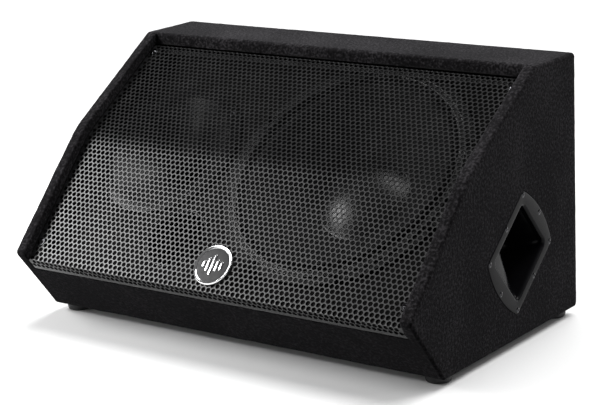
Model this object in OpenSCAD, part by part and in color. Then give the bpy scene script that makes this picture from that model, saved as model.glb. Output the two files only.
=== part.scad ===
// Stage monitor wedge: a carpeted plywood cabinet with a bent steel grille over a 15-inch cone
// driver, a horn with its compression driver, and a round port. Millimetres, +Z up. The origin is
// on the floor under the middle of the cabinet. The grille faces -Y and up, and +X is to the right of
// someone looking at it.

/* [Cabinet] */
// Width across the carpeted sides
cabinet_w = 700; // [690:1:900]
// Depth to the carpeted rear from the nose, before the nose is rounded
cabinet_d = 440; // [420:1:560]
// Height of the cabinet on top of its feet
cabinet_h = 376; // [360:1:460]
// Height of the nose above the underside
nose_h = 99; // [85:1:120]
// Setback of the bottom front edge behind the nose
toe_setback = 77; // [60:1:92]
// Depth of the flat top
top_d = 112; // [95:1:140]
// Distance of the grille bend from the nose, along the straight line to the top
bend_along = 217; // [180:1:260]
// How far the grille bend stands out from that line
bend_out = 26.5; // [20:0.5:35]
// Radius of the bend in the side panels
bend_r = 150; // [80:5:200]
// Radius of the cabinet's other corners
corner_r = 7; // [5:0.5:10]
// Plywood thickness of the shell
ply_t = 15; // [12:0.5:18]
// Carpet thickness
carpet_t = 2.5; // [2:0.1:3]

/* [Baffle] */
// Distance from the nose-to-top line back to the baffle's front face
baffle_depth = 38; // [36:1:44]
// Baffle thickness
baffle_t = 18; // [15:0.5:21]
// Section of the glued battens in the corners
batten = 20; // [12:1:26]

/* [Grille] */
// Depth of the grille below the side panels' front edges
grille_recess = 14; // [10:0.5:18]
// Sheet thickness of the grille
grille_t = 1.5; // [1:0.1:2]
// Gap between the grille and each side panel
grille_gap = 1.5; // [1:0.1:3]
// Distance down from the nose to the end of the flange folded round it
grille_flange = 34; // [30:1:42]
// Length of the return folded down in front of the top lip
grille_return = 12; // [8:1:16]
// Diameter of the badge
badge_d = 62; // [45:1:75]
// Distance of the badge's middle from the nose fold
badge_up = 40; // [36:1:60]

/* [Low driver] */
// Outer diameter of the cast frame
woofer_d = 384; // [300:1:386]
// Space between the frame and the side panel
woofer_side_gap = 27.5; // [20:0.5:40]
// Space between the frame and the top panel
woofer_top_gap = 5; // [3:0.5:12]
// Width of the mounting flange outside the cutout
woofer_seat = 15.5; // [13:0.5:18]
// Thickness of the mounting flange
woofer_flange_t = 6; // [4:0.5:7]
// Depth of the cast bowl, from the baffle face to the top plate
bowl_depth = 97; // [85:1:110]
// Thickness of the gasket on the frame
gasket_t = 2; // [1:0.5:4]
// Radius of the pole inside the voice coil
pole_r = 49.3; // [37:0.1:50]
// Number of mounting bolts
woofer_bolt_count = 8; // [4:1:12]
// Thread diameter of the mounting bolts
woofer_bolt_d = 6; // [5:1:6]

/* [Horn] */
// Outer diameter of the horn's flange
horn_d = 234; // [200:1:236]
// Space between the horn's flange and the side panel
horn_side_gap = 5.5; // [3:0.5:30]
// Half width of the square mouth
mouth_half = 76; // [55:1:80]
// Depth of the horn from the baffle face to the throat
horn_depth = 100; // [80:1:120]
// Radius of the throat
throat_r = 12.5; // [12:0.5:18]
// Wall of the moulded flare
horn_wall = 3; // [2.5:0.1:4]
// Radius of the compression driver
hf_r = 60; // [50:1:65]

/* [Port] */
// Inner diameter of the port
port_d = 90; // [60:1:100]
// Length of the port behind the baffle face
port_len = 62; // [40:1:64]
// Distance of the port's middle from the horn's, to the right
port_offset = 96.5; // [80:0.5:120]
// Space between the port's flange and the bottom of the baffle
port_floor_gap = 24; // [15:1:30]

/* [Handles] */
// Length of the flange between its straight corners
handle_l = 128; // [110:1:150]
// Width of the flange
handle_w = 120; // [108:1:140]
// How far the short ends bow out
handle_bow = 12; // [6:1:16]
// Length of the hand opening
grip_l = 100; // [85:1:104]
// Width of the hand opening
grip_w = 90; // [75:1:94]
// Depth of the pocket behind the panel face
pocket_depth = 56; // [40:1:60]
// Distance of the handle's middle behind the nose
handle_y = 278; // [260:1:330]
// Height of the handle's middle above the underside
handle_z = 123; // [115:1:150]

/* [Feet] */
// Height of each rubber foot
foot_h = 12; // [8:1:20]
// Diameter of each rubber foot
foot_d = 38; // [25:1:45]
// Distance of each foot's middle from the cabinet's edges
foot_inset = 26; // [24:1:40]

/* [Input plate] */
// Width of the pressed dish
dish_w = 150; // [146:1:180]
// Height of the pressed dish
dish_h = 90; // [70:1:110]
// Depth of the pressed dish
dish_depth = 24; // [15:1:30]
// Width of the flange round the dish
dish_rim = 16; // [12:1:20]
// Distance of the dish from the cabinet's middle, to the left
dish_left = 190; // [150:1:200]
// Height of the dish's middle above the underside
dish_z = 160; // [130:1:200]
// Spacing of the sockets
socket_pitch = 34; // [30:1:36]

/* [Hidden] */
$fn = 96;
slip = 0.5;      // clearance round pieces that drop into a cut-out
seat_gap = 0.02; // air under a flange that is bolted down on the baffle
over = 1;        // how far a cutting shape runs past the face it cuts
arc_steps = 6;   // straight steps in each rounded corner of an outline
skin_t = 1;      // thickness of the cone driver's surround
panel_colour = "#1b1a1a";
carpet_colour = "#26262b";
steel_colour = "#55565a";
plastic_colour = "#1d1d20";

// --- outlines in the side view, as [y, z], clockwise seen from the right ---
function unit(v) = v / norm(v);
function inward(a, b) = let (u = unit(b - a)) [u[1], -u[0]];
function crossing(p, u, q, w) = p + u * (cross(q - p, w) / cross(u, w));
// The outline moved inward by its own distance on each edge, edge i starting at point i
function inset(pts, gaps) = let (n = len(pts)) [for (i = [0 : n - 1])
    let (before = pts[(i + n - 1) % n], here = pts[i], after = pts[(i + 1) % n])
    crossing(here + inward(before, here) * gaps[(i + n - 1) % n], here - before,
        here + inward(here, after) * gaps[i], after - here)];
function short_turn(a) = a > 180 ? a - 360 : a < -180 ? a + 360 : a;
function corner_arc(before, here, after, r) = r <= 0 ? [here] :
    let (u = unit(before - here), w = unit(after - here), half = acos(u * w) / 2,
        centre = here + unit(u + w) * r / sin(half),
        from = here + u * r / tan(half) - centre, to = here + w * r / tan(half) - centre,
        start = atan2(from[1], from[0]), sweep = short_turn(atan2(to[1], to[0]) - start))
    [for (k = [0 : arc_steps]) centre + r * [cos(start + sweep * k / arc_steps),
        sin(start + sweep * k / arc_steps)]];
function rounded(pts, radii) = let (n = len(pts)) [for (i = [0 : n - 1])
    each corner_arc(pts[(i + n - 1) % n], pts[i], pts[(i + 1) % n], radii[i])];

// The outer profile with its nose at y = 0: toe, nose, bend, top front, top rear, heel
raw_nose = [0, foot_h + nose_h];
raw_top = [cabinet_d - top_d, foot_h + cabinet_h];
chord = unit(raw_top - raw_nose);
chord_out = [-chord[1], chord[0]];
slope = atan2(chord[1], chord[0]);
raw_profile = [[toe_setback, foot_h], raw_nose, raw_nose + chord * bend_along + chord_out * bend_out,
    raw_top, [cabinet_d, foot_h + cabinet_h], [cabinet_d, foot_h]];
outer_radii = [corner_r, corner_r, bend_r, corner_r, corner_r, corner_r];
front_most = min([for (p = rounded(raw_profile, outer_radii)) p[0]]);
shift = -(front_most + cabinet_d) / 2;
profile = [for (p = raw_profile) p + [shift, 0]];
toe = profile[0];
nose = profile[1];
bend = profile[2];
top_front = profile[3];
rear_y = profile[4][0];
top_z = profile[4][1];

shell_t = carpet_t + ply_t;
side_out = cabinet_w / 2 - carpet_t;
side_in = side_out - ply_t;
floor_z = foot_h + shell_t;
ceiling_z = top_z - shell_t;
rear_in = rear_y - shell_t;
ply_outline = rounded(inset(profile, [for (i = [0 : 5]) carpet_t]),
    [for (r = outer_radii) r - carpet_t]);
cavity = inset(profile, [shell_t, grille_recess, grille_recess, shell_t, shell_t, shell_t]);

// --- the baffle's own frame: x across, v up the slope from the nose, depth behind the chord ---
function on_slope(v, depth) = nose + chord * v - chord_out * depth;
// v of the ceiling and of the lower front panel's inner face, at a depth behind the chord
function ceiling_v(depth) = (ceiling_z - nose[1] + chord_out[1] * depth) / chord[1];
toe_line = inset(profile, [shell_t, 0, 0, 0, 0, 0])[1];
toe_dir = nose - toe;
function floor_v(depth) = let (p = crossing(on_slope(0, depth), chord, toe_line, toe_dir))
    (p - on_slope(0, depth)) * chord;

woofer_r = woofer_d / 2;
cutout_r = woofer_r - woofer_seat;
woofer_x = side_in - woofer_side_gap - woofer_r;
woofer_front = woofer_flange_t + skin_t + gasket_t;
woofer_v = ceiling_v(baffle_depth - woofer_front) - woofer_top_gap - woofer_r;
horn_r = horn_d / 2;
horn_x = -(side_in - horn_side_gap - horn_r);
horn_v = woofer_v;
port_r = port_d / 2;
port_wall = 2.5;
port_flange = 6;
port_x = horn_x + port_offset;
port_v = floor_v(baffle_depth) + port_floor_gap + port_r + port_flange;

module on_baffle(x, v) {
    translate([x, on_slope(v, baffle_depth)[0], on_slope(v, baffle_depth)[1]])
        rotate([slope, 0, 0]) children();
}
module at_woofer() { on_baffle(woofer_x, woofer_v) children(); }
module at_horn() { on_baffle(horn_x, horn_v) children(); }
module at_port() { on_baffle(port_x, port_v) children(); }

// A side-view outline extruded from x0 to x1
module across(x0, x1) {
    translate([x0, 0, 0]) rotate([90, 0, 90]) linear_extrude(x1 - x0) children();
}
module box_2d(y0, z0, y1, z1) { translate([y0, z0]) square([y1 - y0, z1 - z0]); }
// Everything in the side view behind the given depth from the chord
module behind(depth) {
    reach = cabinet_d + cabinet_h;
    translate(on_slope(-reach, depth)) rotate(slope) translate([0, -reach]) square([3 * reach, reach]);
}
module ring(r_out, r_in, z0, z1) {
    translate([0, 0, z0]) difference() {
        cylinder(r = r_out, h = z1 - z0);
        translate([0, 0, -over]) cylinder(r = r_in, h = z1 - z0 + 2 * over);
    }
}
module disc(r, z0, z1) { translate([0, 0, z0]) cylinder(r = r, h = z1 - z0); }
module around(count, r, first = 0) {
    for (i = [0 : count - 1]) rotate(first + i * 360 / count) translate([r, 0, 0]) children();
}

// --- cabinet shell ---
module side_panel() {
    difference() {
        across(side_in, side_out) polygon(ply_outline);
        at_handle() pocket_block(slip);
        at_handle() handle_screw_places() disc(handle_screw_r, -ply_t - over, over);
    }
}
module side_panel_right() { color(panel_colour) side_panel(); }
module side_panel_left() { color(panel_colour) mirror([1, 0, 0]) side_panel(); }

module top_panel() {
    color(panel_colour) across(-side_in, side_in) intersection() {
        wrap_region(carpet_t);
        box_2d(top_front[0], ceiling_z, rear_y, top_z);
    }
}
module rear_panel() {
    color(panel_colour) difference() {
        across(-side_in, side_in) box_2d(rear_in, floor_z, rear_y - carpet_t, ceiling_z);
        at_dish() dish_block(slip);
        at_dish() dish_screw_places() disc(dish_screw_r, -ply_t - over, over);
    }
}
module bottom_panel() {
    color(panel_colour) difference() {
        across(-side_in, side_in) intersection() {
            wrap_region(carpet_t);
            box_2d(toe[0] - cabinet_d, foot_h, rear_y, floor_z);
        }
        foot_places() disc(foot_screw_r, foot_h - over, foot_h + foot_screw_bite);
    }
}
module lower_front_panel() {
    color(panel_colour) across(-side_in, side_in) difference() {
        intersection() {
            polygon(inset(profile, [carpet_t, grille_recess + grille_t + slip, 0, 0, 0, 0]));
            box_2d(nose[0] - cabinet_d, floor_z, rear_in, nose[1] + nose_h);
        }
        polygon(inset(profile, [shell_t, -nose_h, 0, 0, 0, 0]));
    }
}
module baffle() {
    color(panel_colour) difference() {
        across(-side_in, side_in) difference() {
            intersection() {
                polygon(cavity);
                behind(baffle_depth);
            }
            behind(baffle_depth + baffle_t);
        }
        at_woofer() disc(cutout_r, -baffle_t - over, over);
        at_woofer() woofer_bolt_places() disc(t_nut_r, -baffle_t - over, over);
        at_horn() disc(horn_cutout_r, -baffle_t - over, over);
        at_horn() horn_screw_places() disc(horn_screw_r, -horn_screw_l, over);
        at_port() disc(port_r + port_wall, -baffle_t - over, over);
    }
}
// Battens in the corners where panels meet, each cut to the angle of its corner
module glue_battens() {
    heel_in = rear_in - batten;
    toe_in = cavity[0];
    color("#8a6b45") across(-side_in, side_in) {
        box_2d(heel_in, floor_z, rear_in, floor_z + batten);
        box_2d(heel_in, ceiling_z - batten, rear_in, ceiling_z);
        intersection() {
            polygon(cavity);
            box_2d(toe_in[0] - cabinet_d, floor_z, toe_in[0] + batten, floor_z + batten);
        }
    }
}

// --- grille: nose flange, lower face, bend, upper face and return in front of the lip ---
flange_end = nose + unit(toe - nose) * grille_flange;
lip_y = top_front[0] - grille_gap;
upper_dir = top_front - bend;
lip_meet = crossing(bend, upper_dir, [lip_y, 0], [0, 1]);
grille_path = [flange_end, nose, bend, lip_meet,
    [lip_y, lip_meet[1] - grille_recess / cos(atan2(upper_dir[1], upper_dir[0])) - grille_return]];
flange_lift = 0.4;
grille_radii = [0, 2.5, bend_r - grille_recess, 2.5, 0];
module grille_region(extra) {
    polygon(rounded(inset(grille_path, [flange_lift + extra, grille_recess + extra,
        grille_recess + extra, extra, extra > 0 ? -over : 0]),
        [for (r = grille_radii) max(0, r - extra)]));
}
grille_half = side_in - grille_gap;
module grille() {
    color(steel_colour) difference() {
        across(-grille_half, grille_half) difference() {
            grille_region(0);
            grille_region(grille_t);
        }
        grille_screw_places() disc(grille_screw_r, -grille_t - over, over);
    }
}
// Places on a grille face: distance along from its start, x, and local z out of the face
module on_grille_face(from, to, along, x) {
    dir = unit(to - from);
    place = from + dir * along + inward(from, to) * grille_recess;
    translate([x, place[0], place[1]]) rotate([atan2(dir[1], dir[0]), 0, 0]) children();
}
block_w = 18;
block_l = 40;
screw_from_edge = 9;
screw_from_fold = 30;
grille_screw_r = 2.4;
grille_screw_l = 18;
module grille_screw_places() {
    for (side = [-1, 1]) {
        x = side * (side_in - screw_from_edge);
        on_grille_face(nose, bend, screw_from_fold, x) children();
        on_grille_face(bend, top_front, norm(top_front - bend) - screw_from_fold, x) children();
    }
}
module grille_screws() {
    color("silver") grille_screw_places() {
        disc(grille_screw_r, -grille_screw_l, 0);
        difference() {
            union() {
                disc(6.5, 0, 0.8);
                translate([0, 0, 0.8]) cylinder(r1 = 5, r2 = 3.6, h = 2.2);
            }
            disc(1.8, 1.4, 4);
        }
    }
}
// Wooden blocks between the baffle and the grille's corners, glued to the side panels
module grille_blocks() {
    low_v = floor_v(baffle_depth);
    high_v = (grille_path[4] - nose) * chord - grille_t - slip;
    color(panel_colour) difference() {
        for (side = [0, 1]) mirror([side, 0, 0]) across(side_in - block_w, side_in)
            difference() {
                intersection() {
                    polygon(cavity);
                    polygon(inset(profile, [for (i = [0 : 5]) grille_recess + grille_t]));
                    union() {
                        block_strip(low_v, low_v + block_l);
                        block_strip(high_v - block_l, high_v);
                    }
                }
                behind(baffle_depth);
            }
        grille_screw_places() disc(grille_screw_r, -grille_screw_l, over);
    }
}
module block_strip(v0, v1) {
    translate(on_slope(v0, baffle_depth)) rotate(slope) square([v1 - v0, baffle_depth + bend_out]);
}
badge_ring_w = 4.5;
badge_h = 4;
module at_badge() { on_grille_face(nose, bend, badge_up, 0) children(); }
module badge_ring() {
    color("gainsboro") at_badge() rotate_extrude()
        polygon([[badge_d / 2 - badge_ring_w, 0], [badge_d / 2, 0], [badge_d / 2, badge_h - 1.5],
            [badge_d / 2 - 1.5, badge_h], [badge_d / 2 - badge_ring_w + 1, badge_h],
            [badge_d / 2 - badge_ring_w, badge_h - 1.2]]);
}
module badge_face() {
    color("#3a3b3f") at_badge() disc(badge_d / 2 - badge_ring_w, 0, badge_h - 1.6);
}

// --- carpet: two side skins with a rim over the front edges, and one wrap round the cabinet ---
wrap_start = nose + unit(toe - nose) * (grille_flange + 2);
wrap_path = [toe, wrap_start, [top_front[0], ceiling_z], top_front, profile[4], profile[5]];
wrap_radii = [corner_r, 0, 0, corner_r, corner_r, corner_r];
module wrap_region(extra) {
    hem = extra > 0 ? -over : 0;
    polygon(rounded(inset(wrap_path, [extra, hem, extra, extra, extra, extra]),
        [for (r = wrap_radii) max(0, r - extra)]));
}
module wrap_band() {
    difference() {
        wrap_region(0);
        wrap_region(carpet_t);
    }
}
module carpet_wrap() {
    color(carpet_colour) difference() {
        across(-side_out, side_out) intersection() {
            wrap_band();
            polygon(rounded(profile, outer_radii));
        }
        for (side = [0, 1]) mirror([side, 0, 0]) across(side_in, cabinet_w) polygon(ply_outline);
        foot_places() disc(foot_screw_r, foot_h - over, floor_z);
        at_dish() dish_flange(slip, carpet_t + over);
    }
}
module carpet_side() {
    difference() {
        union() {
            across(side_out, cabinet_w / 2) polygon(rounded(profile, outer_radii));
            across(side_in, side_out) difference() {
                polygon(rounded(profile, outer_radii));
                polygon(ply_outline);
                wrap_region(0);
                box_2d(top_front[0], foot_h, rear_y + over, top_z + over);
            }
        }
        at_handle() linear_extrude(carpet_t + over) handle_outline(slip);
    }
}
module carpet_right() { color(carpet_colour) carpet_side(); }
module carpet_left() { color(carpet_colour) mirror([1, 0, 0]) carpet_side(); }

// --- feet ---
foot_screw_r = 2.2;
foot_screw_bite = 14;
foot_recess = 6;
module foot_places() {
    for (x = [-1, 1], y = [toe[0] + foot_inset, rear_y - foot_inset])
        translate([x * (cabinet_w / 2 - foot_inset), y, 0]) children();
}
module feet() {
    color("#161616") foot_places() difference() {
        union() {
            cylinder(d1 = foot_d - 4, d2 = foot_d, h = 3);
            disc(foot_d / 2, 3, foot_h);
        }
        disc(5.5, -over, foot_recess);
        disc(foot_screw_r, 0, foot_h + over);
    }
}
module foot_screws() {
    color("silver") foot_places() {
        disc(4.5, foot_recess - 2.5, foot_recess);
        disc(foot_screw_r, foot_recess, foot_h + foot_screw_bite);
    }
}

// --- recessed handle: local x across the slope, y along it, z out of the side panel ---
handle_t = 3;
handle_wall = 2;
handle_screw_r = 2;
undercut = 5;
grip_lip = 4;
ramp = 16;
handle_place = [shift + handle_y, foot_h + handle_z];
module at_handle() {
    translate([side_out, handle_place[0], handle_place[1]])
        rotate([slope, 0, 0]) rotate([0, 90, 0]) children();
}
bow_r = (pow(handle_w / 2, 2) + pow(handle_bow, 2)) / (2 * handle_bow);
bow_half = asin(handle_w / 2 / bow_r);
// A rectangle whose short ends bow outward in arcs, grown by extra
module handle_outline(extra) {
    grow = 1 + 2 * extra / handle_w;
    scale(grow) polygon([for (end = [1, -1]) for (k = [-4 : 4])
        let (a = k * bow_half / 4)
        [-end * bow_r * sin(a), end * (handle_l / 2 + handle_bow - bow_r + bow_r * cos(a))]]);
}
// The pocket's solid with its ramped short ends, grown by extra on its walls
module pocket_block(extra) {
    wide = grip_w / 2 + handle_wall + extra;
    long = grip_l / 2 + handle_wall + extra;
    deep = pocket_depth + handle_wall + extra;
    translate([-wide - undercut, 0, 0]) rotate([90, 0, 90]) linear_extrude(2 * wide + undercut)
        polygon([[-long, over], [long, over], [long, 0], [long - ramp, -deep], [ramp - long, -deep],
            [-long, 0]]);
}
module pocket_space() {
    half_l = grip_l / 2;
    half_w = grip_w / 2;
    translate([-half_w, 0, 0]) rotate([90, 0, 90]) linear_extrude(2 * half_w)
        polygon([[-half_l, handle_t + over], [half_l, handle_t + over], [half_l, 0],
            [half_l - ramp, -pocket_depth], [ramp - half_l, -pocket_depth], [-half_l, 0]]);
    translate([-half_w - undercut, 0, 0]) rotate([90, 0, 90]) linear_extrude(half_w)
        polygon([[grip_lip * ramp / pocket_depth - half_l, -grip_lip],
            [half_l - grip_lip * ramp / pocket_depth, -grip_lip],
            [half_l - ramp, -pocket_depth], [ramp - half_l, -pocket_depth]]);
}
module handle_screw_places() {
    across_x = handle_w / 2 - 4.5;
    for (x = [-1, 1], y = [-1, 1]) translate([x * across_x, y * (handle_l / 2 - 5), 0]) children();
    for (x = [-1, 1]) translate([x * across_x, 0, 0]) children();
    for (y = [-1, 1]) translate([0, y * (handle_l / 2 + handle_bow - 6), 0]) children();
}
module handle() {
    difference() {
        union() {
            linear_extrude(handle_t) handle_outline(0);
            difference() {
                pocket_block(0);
                translate([0, 0, handle_t / 2]) linear_extrude(over) square(2 * handle_l, center = true);
            }
        }
        pocket_space();
        handle_screw_places() disc(handle_screw_r, -over, handle_t + over);
    }
}
module handle_right() { color(plastic_colour) at_handle() handle(); }
module handle_left() { color(plastic_colour) mirror([1, 0, 0]) at_handle() handle(); }
module handle_screw_set() {
    at_handle() handle_screw_places() {
        disc(handle_screw_r, -ply_t + over, handle_t);
        difference() {
            translate([0, 0, handle_t]) cylinder(r1 = 4, r2 = 3, h = 1.2);
            disc(1.4, handle_t + 0.4, handle_t + 3);
        }
    }
}
module handle_screws_right() { color("silver") handle_screw_set(); }
module handle_screws_left() { color("silver") mirror([1, 0, 0]) handle_screw_set(); }

// --- port ---
module port_tube() {
    color(plastic_colour) at_port() rotate_extrude() polygon([[port_r, -port_len],
        [port_r + port_wall, -port_len], [port_r + port_wall, 0], [port_r + port_flange, 0],
        [port_r + port_flange, 2], [port_r + port_flange - 1, 3], [port_r + 3, 3],
        [port_r + 1, 1.6], [port_r, -1]]);
}

// --- horn and compression driver; local z out of the baffle, 0 on its front face ---
horn_flange_t = 5;
mouth_power = 5;
flare_steps = 14;
flare_sides = 40;
horn_screw_r = 2.1;
horn_screw_l = 17;
horn_screw_ring = horn_r - 10;
horn_cutout_r = horn_screw_ring - 9;
throat_flange_r = 48;
throat_flange_t = 6;
module horn_screw_places() { around(4, horn_screw_ring, 45) children(); }
// Half width at a share s of the way from throat to mouth, and the squareness there
function flare_half(s) = throat_r + (mouth_half - throat_r) * (0.35 * s + 0.65 * pow(s, 2.2));
function flare_power(s) = 2 + (mouth_power - 2) * pow(s, 1.5);
function square_round(a, half, power) = half
    / pow(pow(abs(cos(a)), power) + pow(abs(sin(a)), power), 1 / power) * [cos(a), sin(a)];
function flare_rings(grow, z_low, z_high) = [for (k = [0 : flare_steps])
    let (s = k / flare_steps, edge = k == 0 ? z_low : k == flare_steps ? z_high :
        -horn_depth + s * (horn_depth + horn_flange_t))
    [for (j = [0 : flare_sides - 1])
        let (p = square_round(j * 360 / flare_sides, flare_half(s) + grow, flare_power(s)))
        [p[0], p[1], edge]]];
// A closed solid through rings of points, the first ring lowest
module loft(rings) {
    n = len(rings[0]);
    last = len(rings) - 1;
    polyhedron([for (r = rings) each r], concat(
        [[for (j = [0 : n - 1]) j]],
        [for (k = [0 : last - 1], j = [0 : n - 1])
            [k * n + j, (k + 1) * n + j, (k + 1) * n + (j + 1) % n, k * n + (j + 1) % n]],
        [[for (j = [n - 1 : -1 : 0]) last * n + j]]), convexity = 6);
}
module horn() {
    color(plastic_colour) at_horn() difference() {
        union() {
            disc(horn_r, seat_gap, horn_flange_t);
            intersection() {
                loft(flare_rings(horn_wall, -horn_depth, horn_flange_t));
                disc(horn_cutout_r - slip, -horn_depth, horn_flange_t);
            }
            disc(throat_flange_r, -horn_depth, throat_flange_t - horn_depth);
        }
        loft(flare_rings(0, -horn_depth - over, horn_flange_t + over));
        horn_screw_places() disc(horn_screw_r, -over, horn_flange_t + over);
        hf_bolt_places() disc(hf_bolt_r, -horn_depth - over, throat_flange_t - horn_depth + over);
    }
}
module horn_screws() {
    color("silver") at_horn() {
        horn_screw_places() {
            disc(horn_screw_r, -horn_screw_l, horn_flange_t);
            difference() {
                translate([0, 0, horn_flange_t]) cylinder(r1 = 4.6, r2 = 3.4, h = 2);
                disc(1.6, horn_flange_t + 0.8, horn_flange_t + 3);
            }
        }
        hf_bolt_places() {
            disc(hf_bolt_r, -horn_depth - hf_plate_t + over, throat_flange_t - horn_depth);
            disc(5, throat_flange_t - horn_depth, throat_flange_t - horn_depth + 4);
        }
    }
}
hf_bolt_r = 3;
hf_plate_t = 7;
hf_magnet_t = 18;
hf_rear_t = 6;
coil_slip = 0.45;
hf_pole_r = 21.5;
hf_coil_r = hf_pole_r + coil_slip;
hf_coil_wall = 0.5;
hf_gap_r = hf_coil_r + hf_coil_wall + coil_slip;
hf_back = -horn_depth - hf_plate_t - hf_magnet_t - hf_rear_t;
module hf_bolt_places() { around(4, 38, 0) children(); }
module hf_front_plate() {
    color(steel_colour) at_horn() difference() {
        union() {
            disc(hf_r, -horn_depth - hf_plate_t, -horn_depth);
            disc(hf_pole_r, hf_back, -horn_depth);
        }
        disc(throat_r, hf_back - over, over - horn_depth);
        hf_bolt_places() disc(hf_bolt_r, -horn_depth - hf_plate_t + over, over - horn_depth);
    }
}
module hf_phase_plug() {
    color("gray") at_horn() translate([0, 0, hf_back]) {
        cylinder(r1 = throat_r - 4, r2 = 1, h = 20);
        intersection() {
            for (a = [0, 60, 120]) rotate(a) translate([-throat_r, -0.8, 0])
                cube([2 * throat_r, 1.6, 10]);
            cylinder(r = throat_r, h = 10);
        }
    }
}
module hf_magnet() {
    color("#2b2b2b") at_horn()
        ring(hf_r, hf_pole_r + 9, hf_back + hf_rear_t, -horn_depth - hf_plate_t);
}
module hf_rear_plate() {
    color(steel_colour) at_horn() ring(hf_r - 4, hf_gap_r, hf_back, hf_back + hf_rear_t);
}
hf_rim_t = 0.8;
module hf_suspension() {
    color("#b98f4a") at_horn() ring(hf_r - 20, hf_gap_r, hf_back - hf_rim_t, hf_back);
}
dome_h = 7;
module hf_diaphragm() {
    r = hf_coil_r + hf_coil_wall;
    top = hf_back - 3;
    ball = (r * r + dome_h * dome_h) / (2 * dome_h);
    half = asin(r / ball);
    color("silver") at_horn() rotate_extrude() polygon(concat(
        [[hf_coil_r, hf_back + hf_rear_t - 1], [hf_coil_r, top]],
        [for (k = [7 : -1 : 0]) [(ball - 0.5) * sin(k * half / 8), top + ball * cos(half)
            - (ball - 0.5) * cos(k * half / 8)]],
        [for (k = [0 : 8]) [ball * sin(k * half / 8), top + ball * cos(half)
            - ball * cos(k * half / 8)]],
        [[r, hf_back + hf_rear_t - 1]]));
}
module hf_back_cover() {
    outer = hf_r - 4;
    deep = 26;
    color(plastic_colour) at_horn() difference() {
        disc(outer, hf_back - deep, hf_back);
        disc(outer - 3, hf_back - deep + 3, hf_back + over);
    }
}

// --- 15-inch cone driver; local z out of the baffle, 0 on its front face ---
surround_out = cutout_r - 5.5;
cone_r = surround_out - 13;
coil_in = pole_r + 0.5;
coil_out = coil_in + 1.4;
gap_r = coil_out + 0.5;
former_out = coil_in + 0.4;
plate_t = 10;
magnet_t = 20;
magnet_r = pole_r + 45.7;
back_t = 12;
landing_z = -bowl_depth + 17;
landing_r = pole_r + 58.7;
neck_z = landing_z + 4.5;
cone_t = 1.5;
cone_front = woofer_flange_t + 0.5;
shelf_in = surround_out + 0.5;
cap_r = former_out + 20;
cap_h = 21.5;
lip_w = 7;
module woofer_bolt_places() { around(woofer_bolt_count, woofer_r - 5.5, 22.5) children(); }
module woofer_basket() {
    wall = cutout_r - 2.5;
    color("#3c3d40") at_woofer() difference() {
        rotate_extrude() polygon([[woofer_r, seat_gap], [woofer_r, woofer_flange_t],
            [shelf_in, woofer_flange_t], [shelf_in, -11], [landing_r, landing_z + 4],
            [landing_r, landing_z], [landing_r - 16, landing_z], [landing_r - 16, landing_z - 3],
            [landing_r - 6, landing_z - 3], [landing_r - 6, 4 - bowl_depth],
            [gap_r + 6, 4 - bowl_depth], [gap_r + 6, -bowl_depth], [landing_r - 2, -bowl_depth],
            [landing_r - 2, landing_z - 4], [landing_r + 6, landing_z],
            [landing_r + 6, landing_z + 4], [wall, -13], [wall, seat_gap]]);
        for (a = [0 : 45 : 315]) rotate(a) translate([landing_r + 8, -24, landing_z + 8])
            cube([woofer_r, 48, -landing_z - 26]);
        woofer_bolt_places() disc(woofer_bolt_d / 2, -over, woofer_flange_t + over);
    }
}
surround_wave = 3;
surround_bumps = 2;
function wave_points(r0, r1, z, waves, height, steps) = [for (k = [0 : steps])
    [r0 + (r1 - r0) * k / steps, z + height * sin(360 * waves * k / steps)]];
// A ring of thin sheet whose section is a row of waves between flat edges
module waved_ring(r_in, r0, r1, r_out, z, t, waves, height) {
    front = concat([[r_in, z]], wave_points(r0, r1, z, waves, height, 8 * waves), [[r_out, z]]);
    rotate_extrude() polygon(concat([for (p = front) p + [0, t]],
        [for (i = [len(front) - 1 : -1 : 0]) front[i]]));
}
module woofer_surround() {
    color("#222226") at_woofer() waved_ring(cone_r + 0.3, cone_r + 1, surround_out,
        surround_out + 10, woofer_flange_t, skin_t, surround_bumps, surround_wave);
}
module woofer_gasket() {
    color("#303033") at_woofer() ring(surround_out + 10, surround_out,
        woofer_flange_t + skin_t, woofer_flange_t + skin_t + gasket_t);
}
module woofer_cone() {
    color("#2a2a2c") at_woofer() rotate_extrude() polygon([[cone_r, cone_front - cone_t],
        [cone_r, cone_front], [cone_r - lip_w, cone_front], [former_out, neck_z],
        [former_out, neck_z - 5], [former_out + cone_t, neck_z - 5],
        [former_out + cone_t, neck_z - cone_t], [cone_r - lip_w + 0.6, cone_front - cone_t]]);
}
cone_rise = (cone_front - neck_z) / (cone_r - lip_w - former_out);
cap_z = neck_z + (cap_r - former_out) * cone_rise;
module dust_cap() {
    ball = (cap_r * cap_r + cap_h * cap_h) / (2 * cap_h);
    half = asin(cap_r / ball);
    mid = cap_z + cap_h - ball;
    color("#1c1c1e") at_woofer() rotate_extrude() polygon(concat(
        [for (k = [0 : 12]) [ball * sin(k * half / 12), mid + ball * cos(k * half / 12)]],
        [for (k = [12 : -1 : 0]) [(ball - 1) * sin(k * half / 12) * 0.998,
            mid + (ball - 1) * cos(k * half / 12) + (k == 12 ? 0.4 : 0)]]));
}
module voice_coil() {
    low = -bowl_depth - plate_t - 5;
    color("#b87333") at_woofer() rotate_extrude() polygon([[coil_in, low], [coil_in, neck_z],
        [former_out, neck_z], [former_out, low + 18], [coil_out, low + 18], [coil_out, low + 2],
        [former_out, low + 2], [former_out, low]]);
}
module woofer_spider() {
    color("#b8974f") at_woofer() waved_ring(former_out + 1.8, former_out + 4, landing_r - 17,
        landing_r - 2, landing_z, 0.8, 4, 2);
}
module woofer_top_plate() {
    color(steel_colour) at_woofer() ring(magnet_r - 5, gap_r, -bowl_depth - plate_t, -bowl_depth);
}
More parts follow.
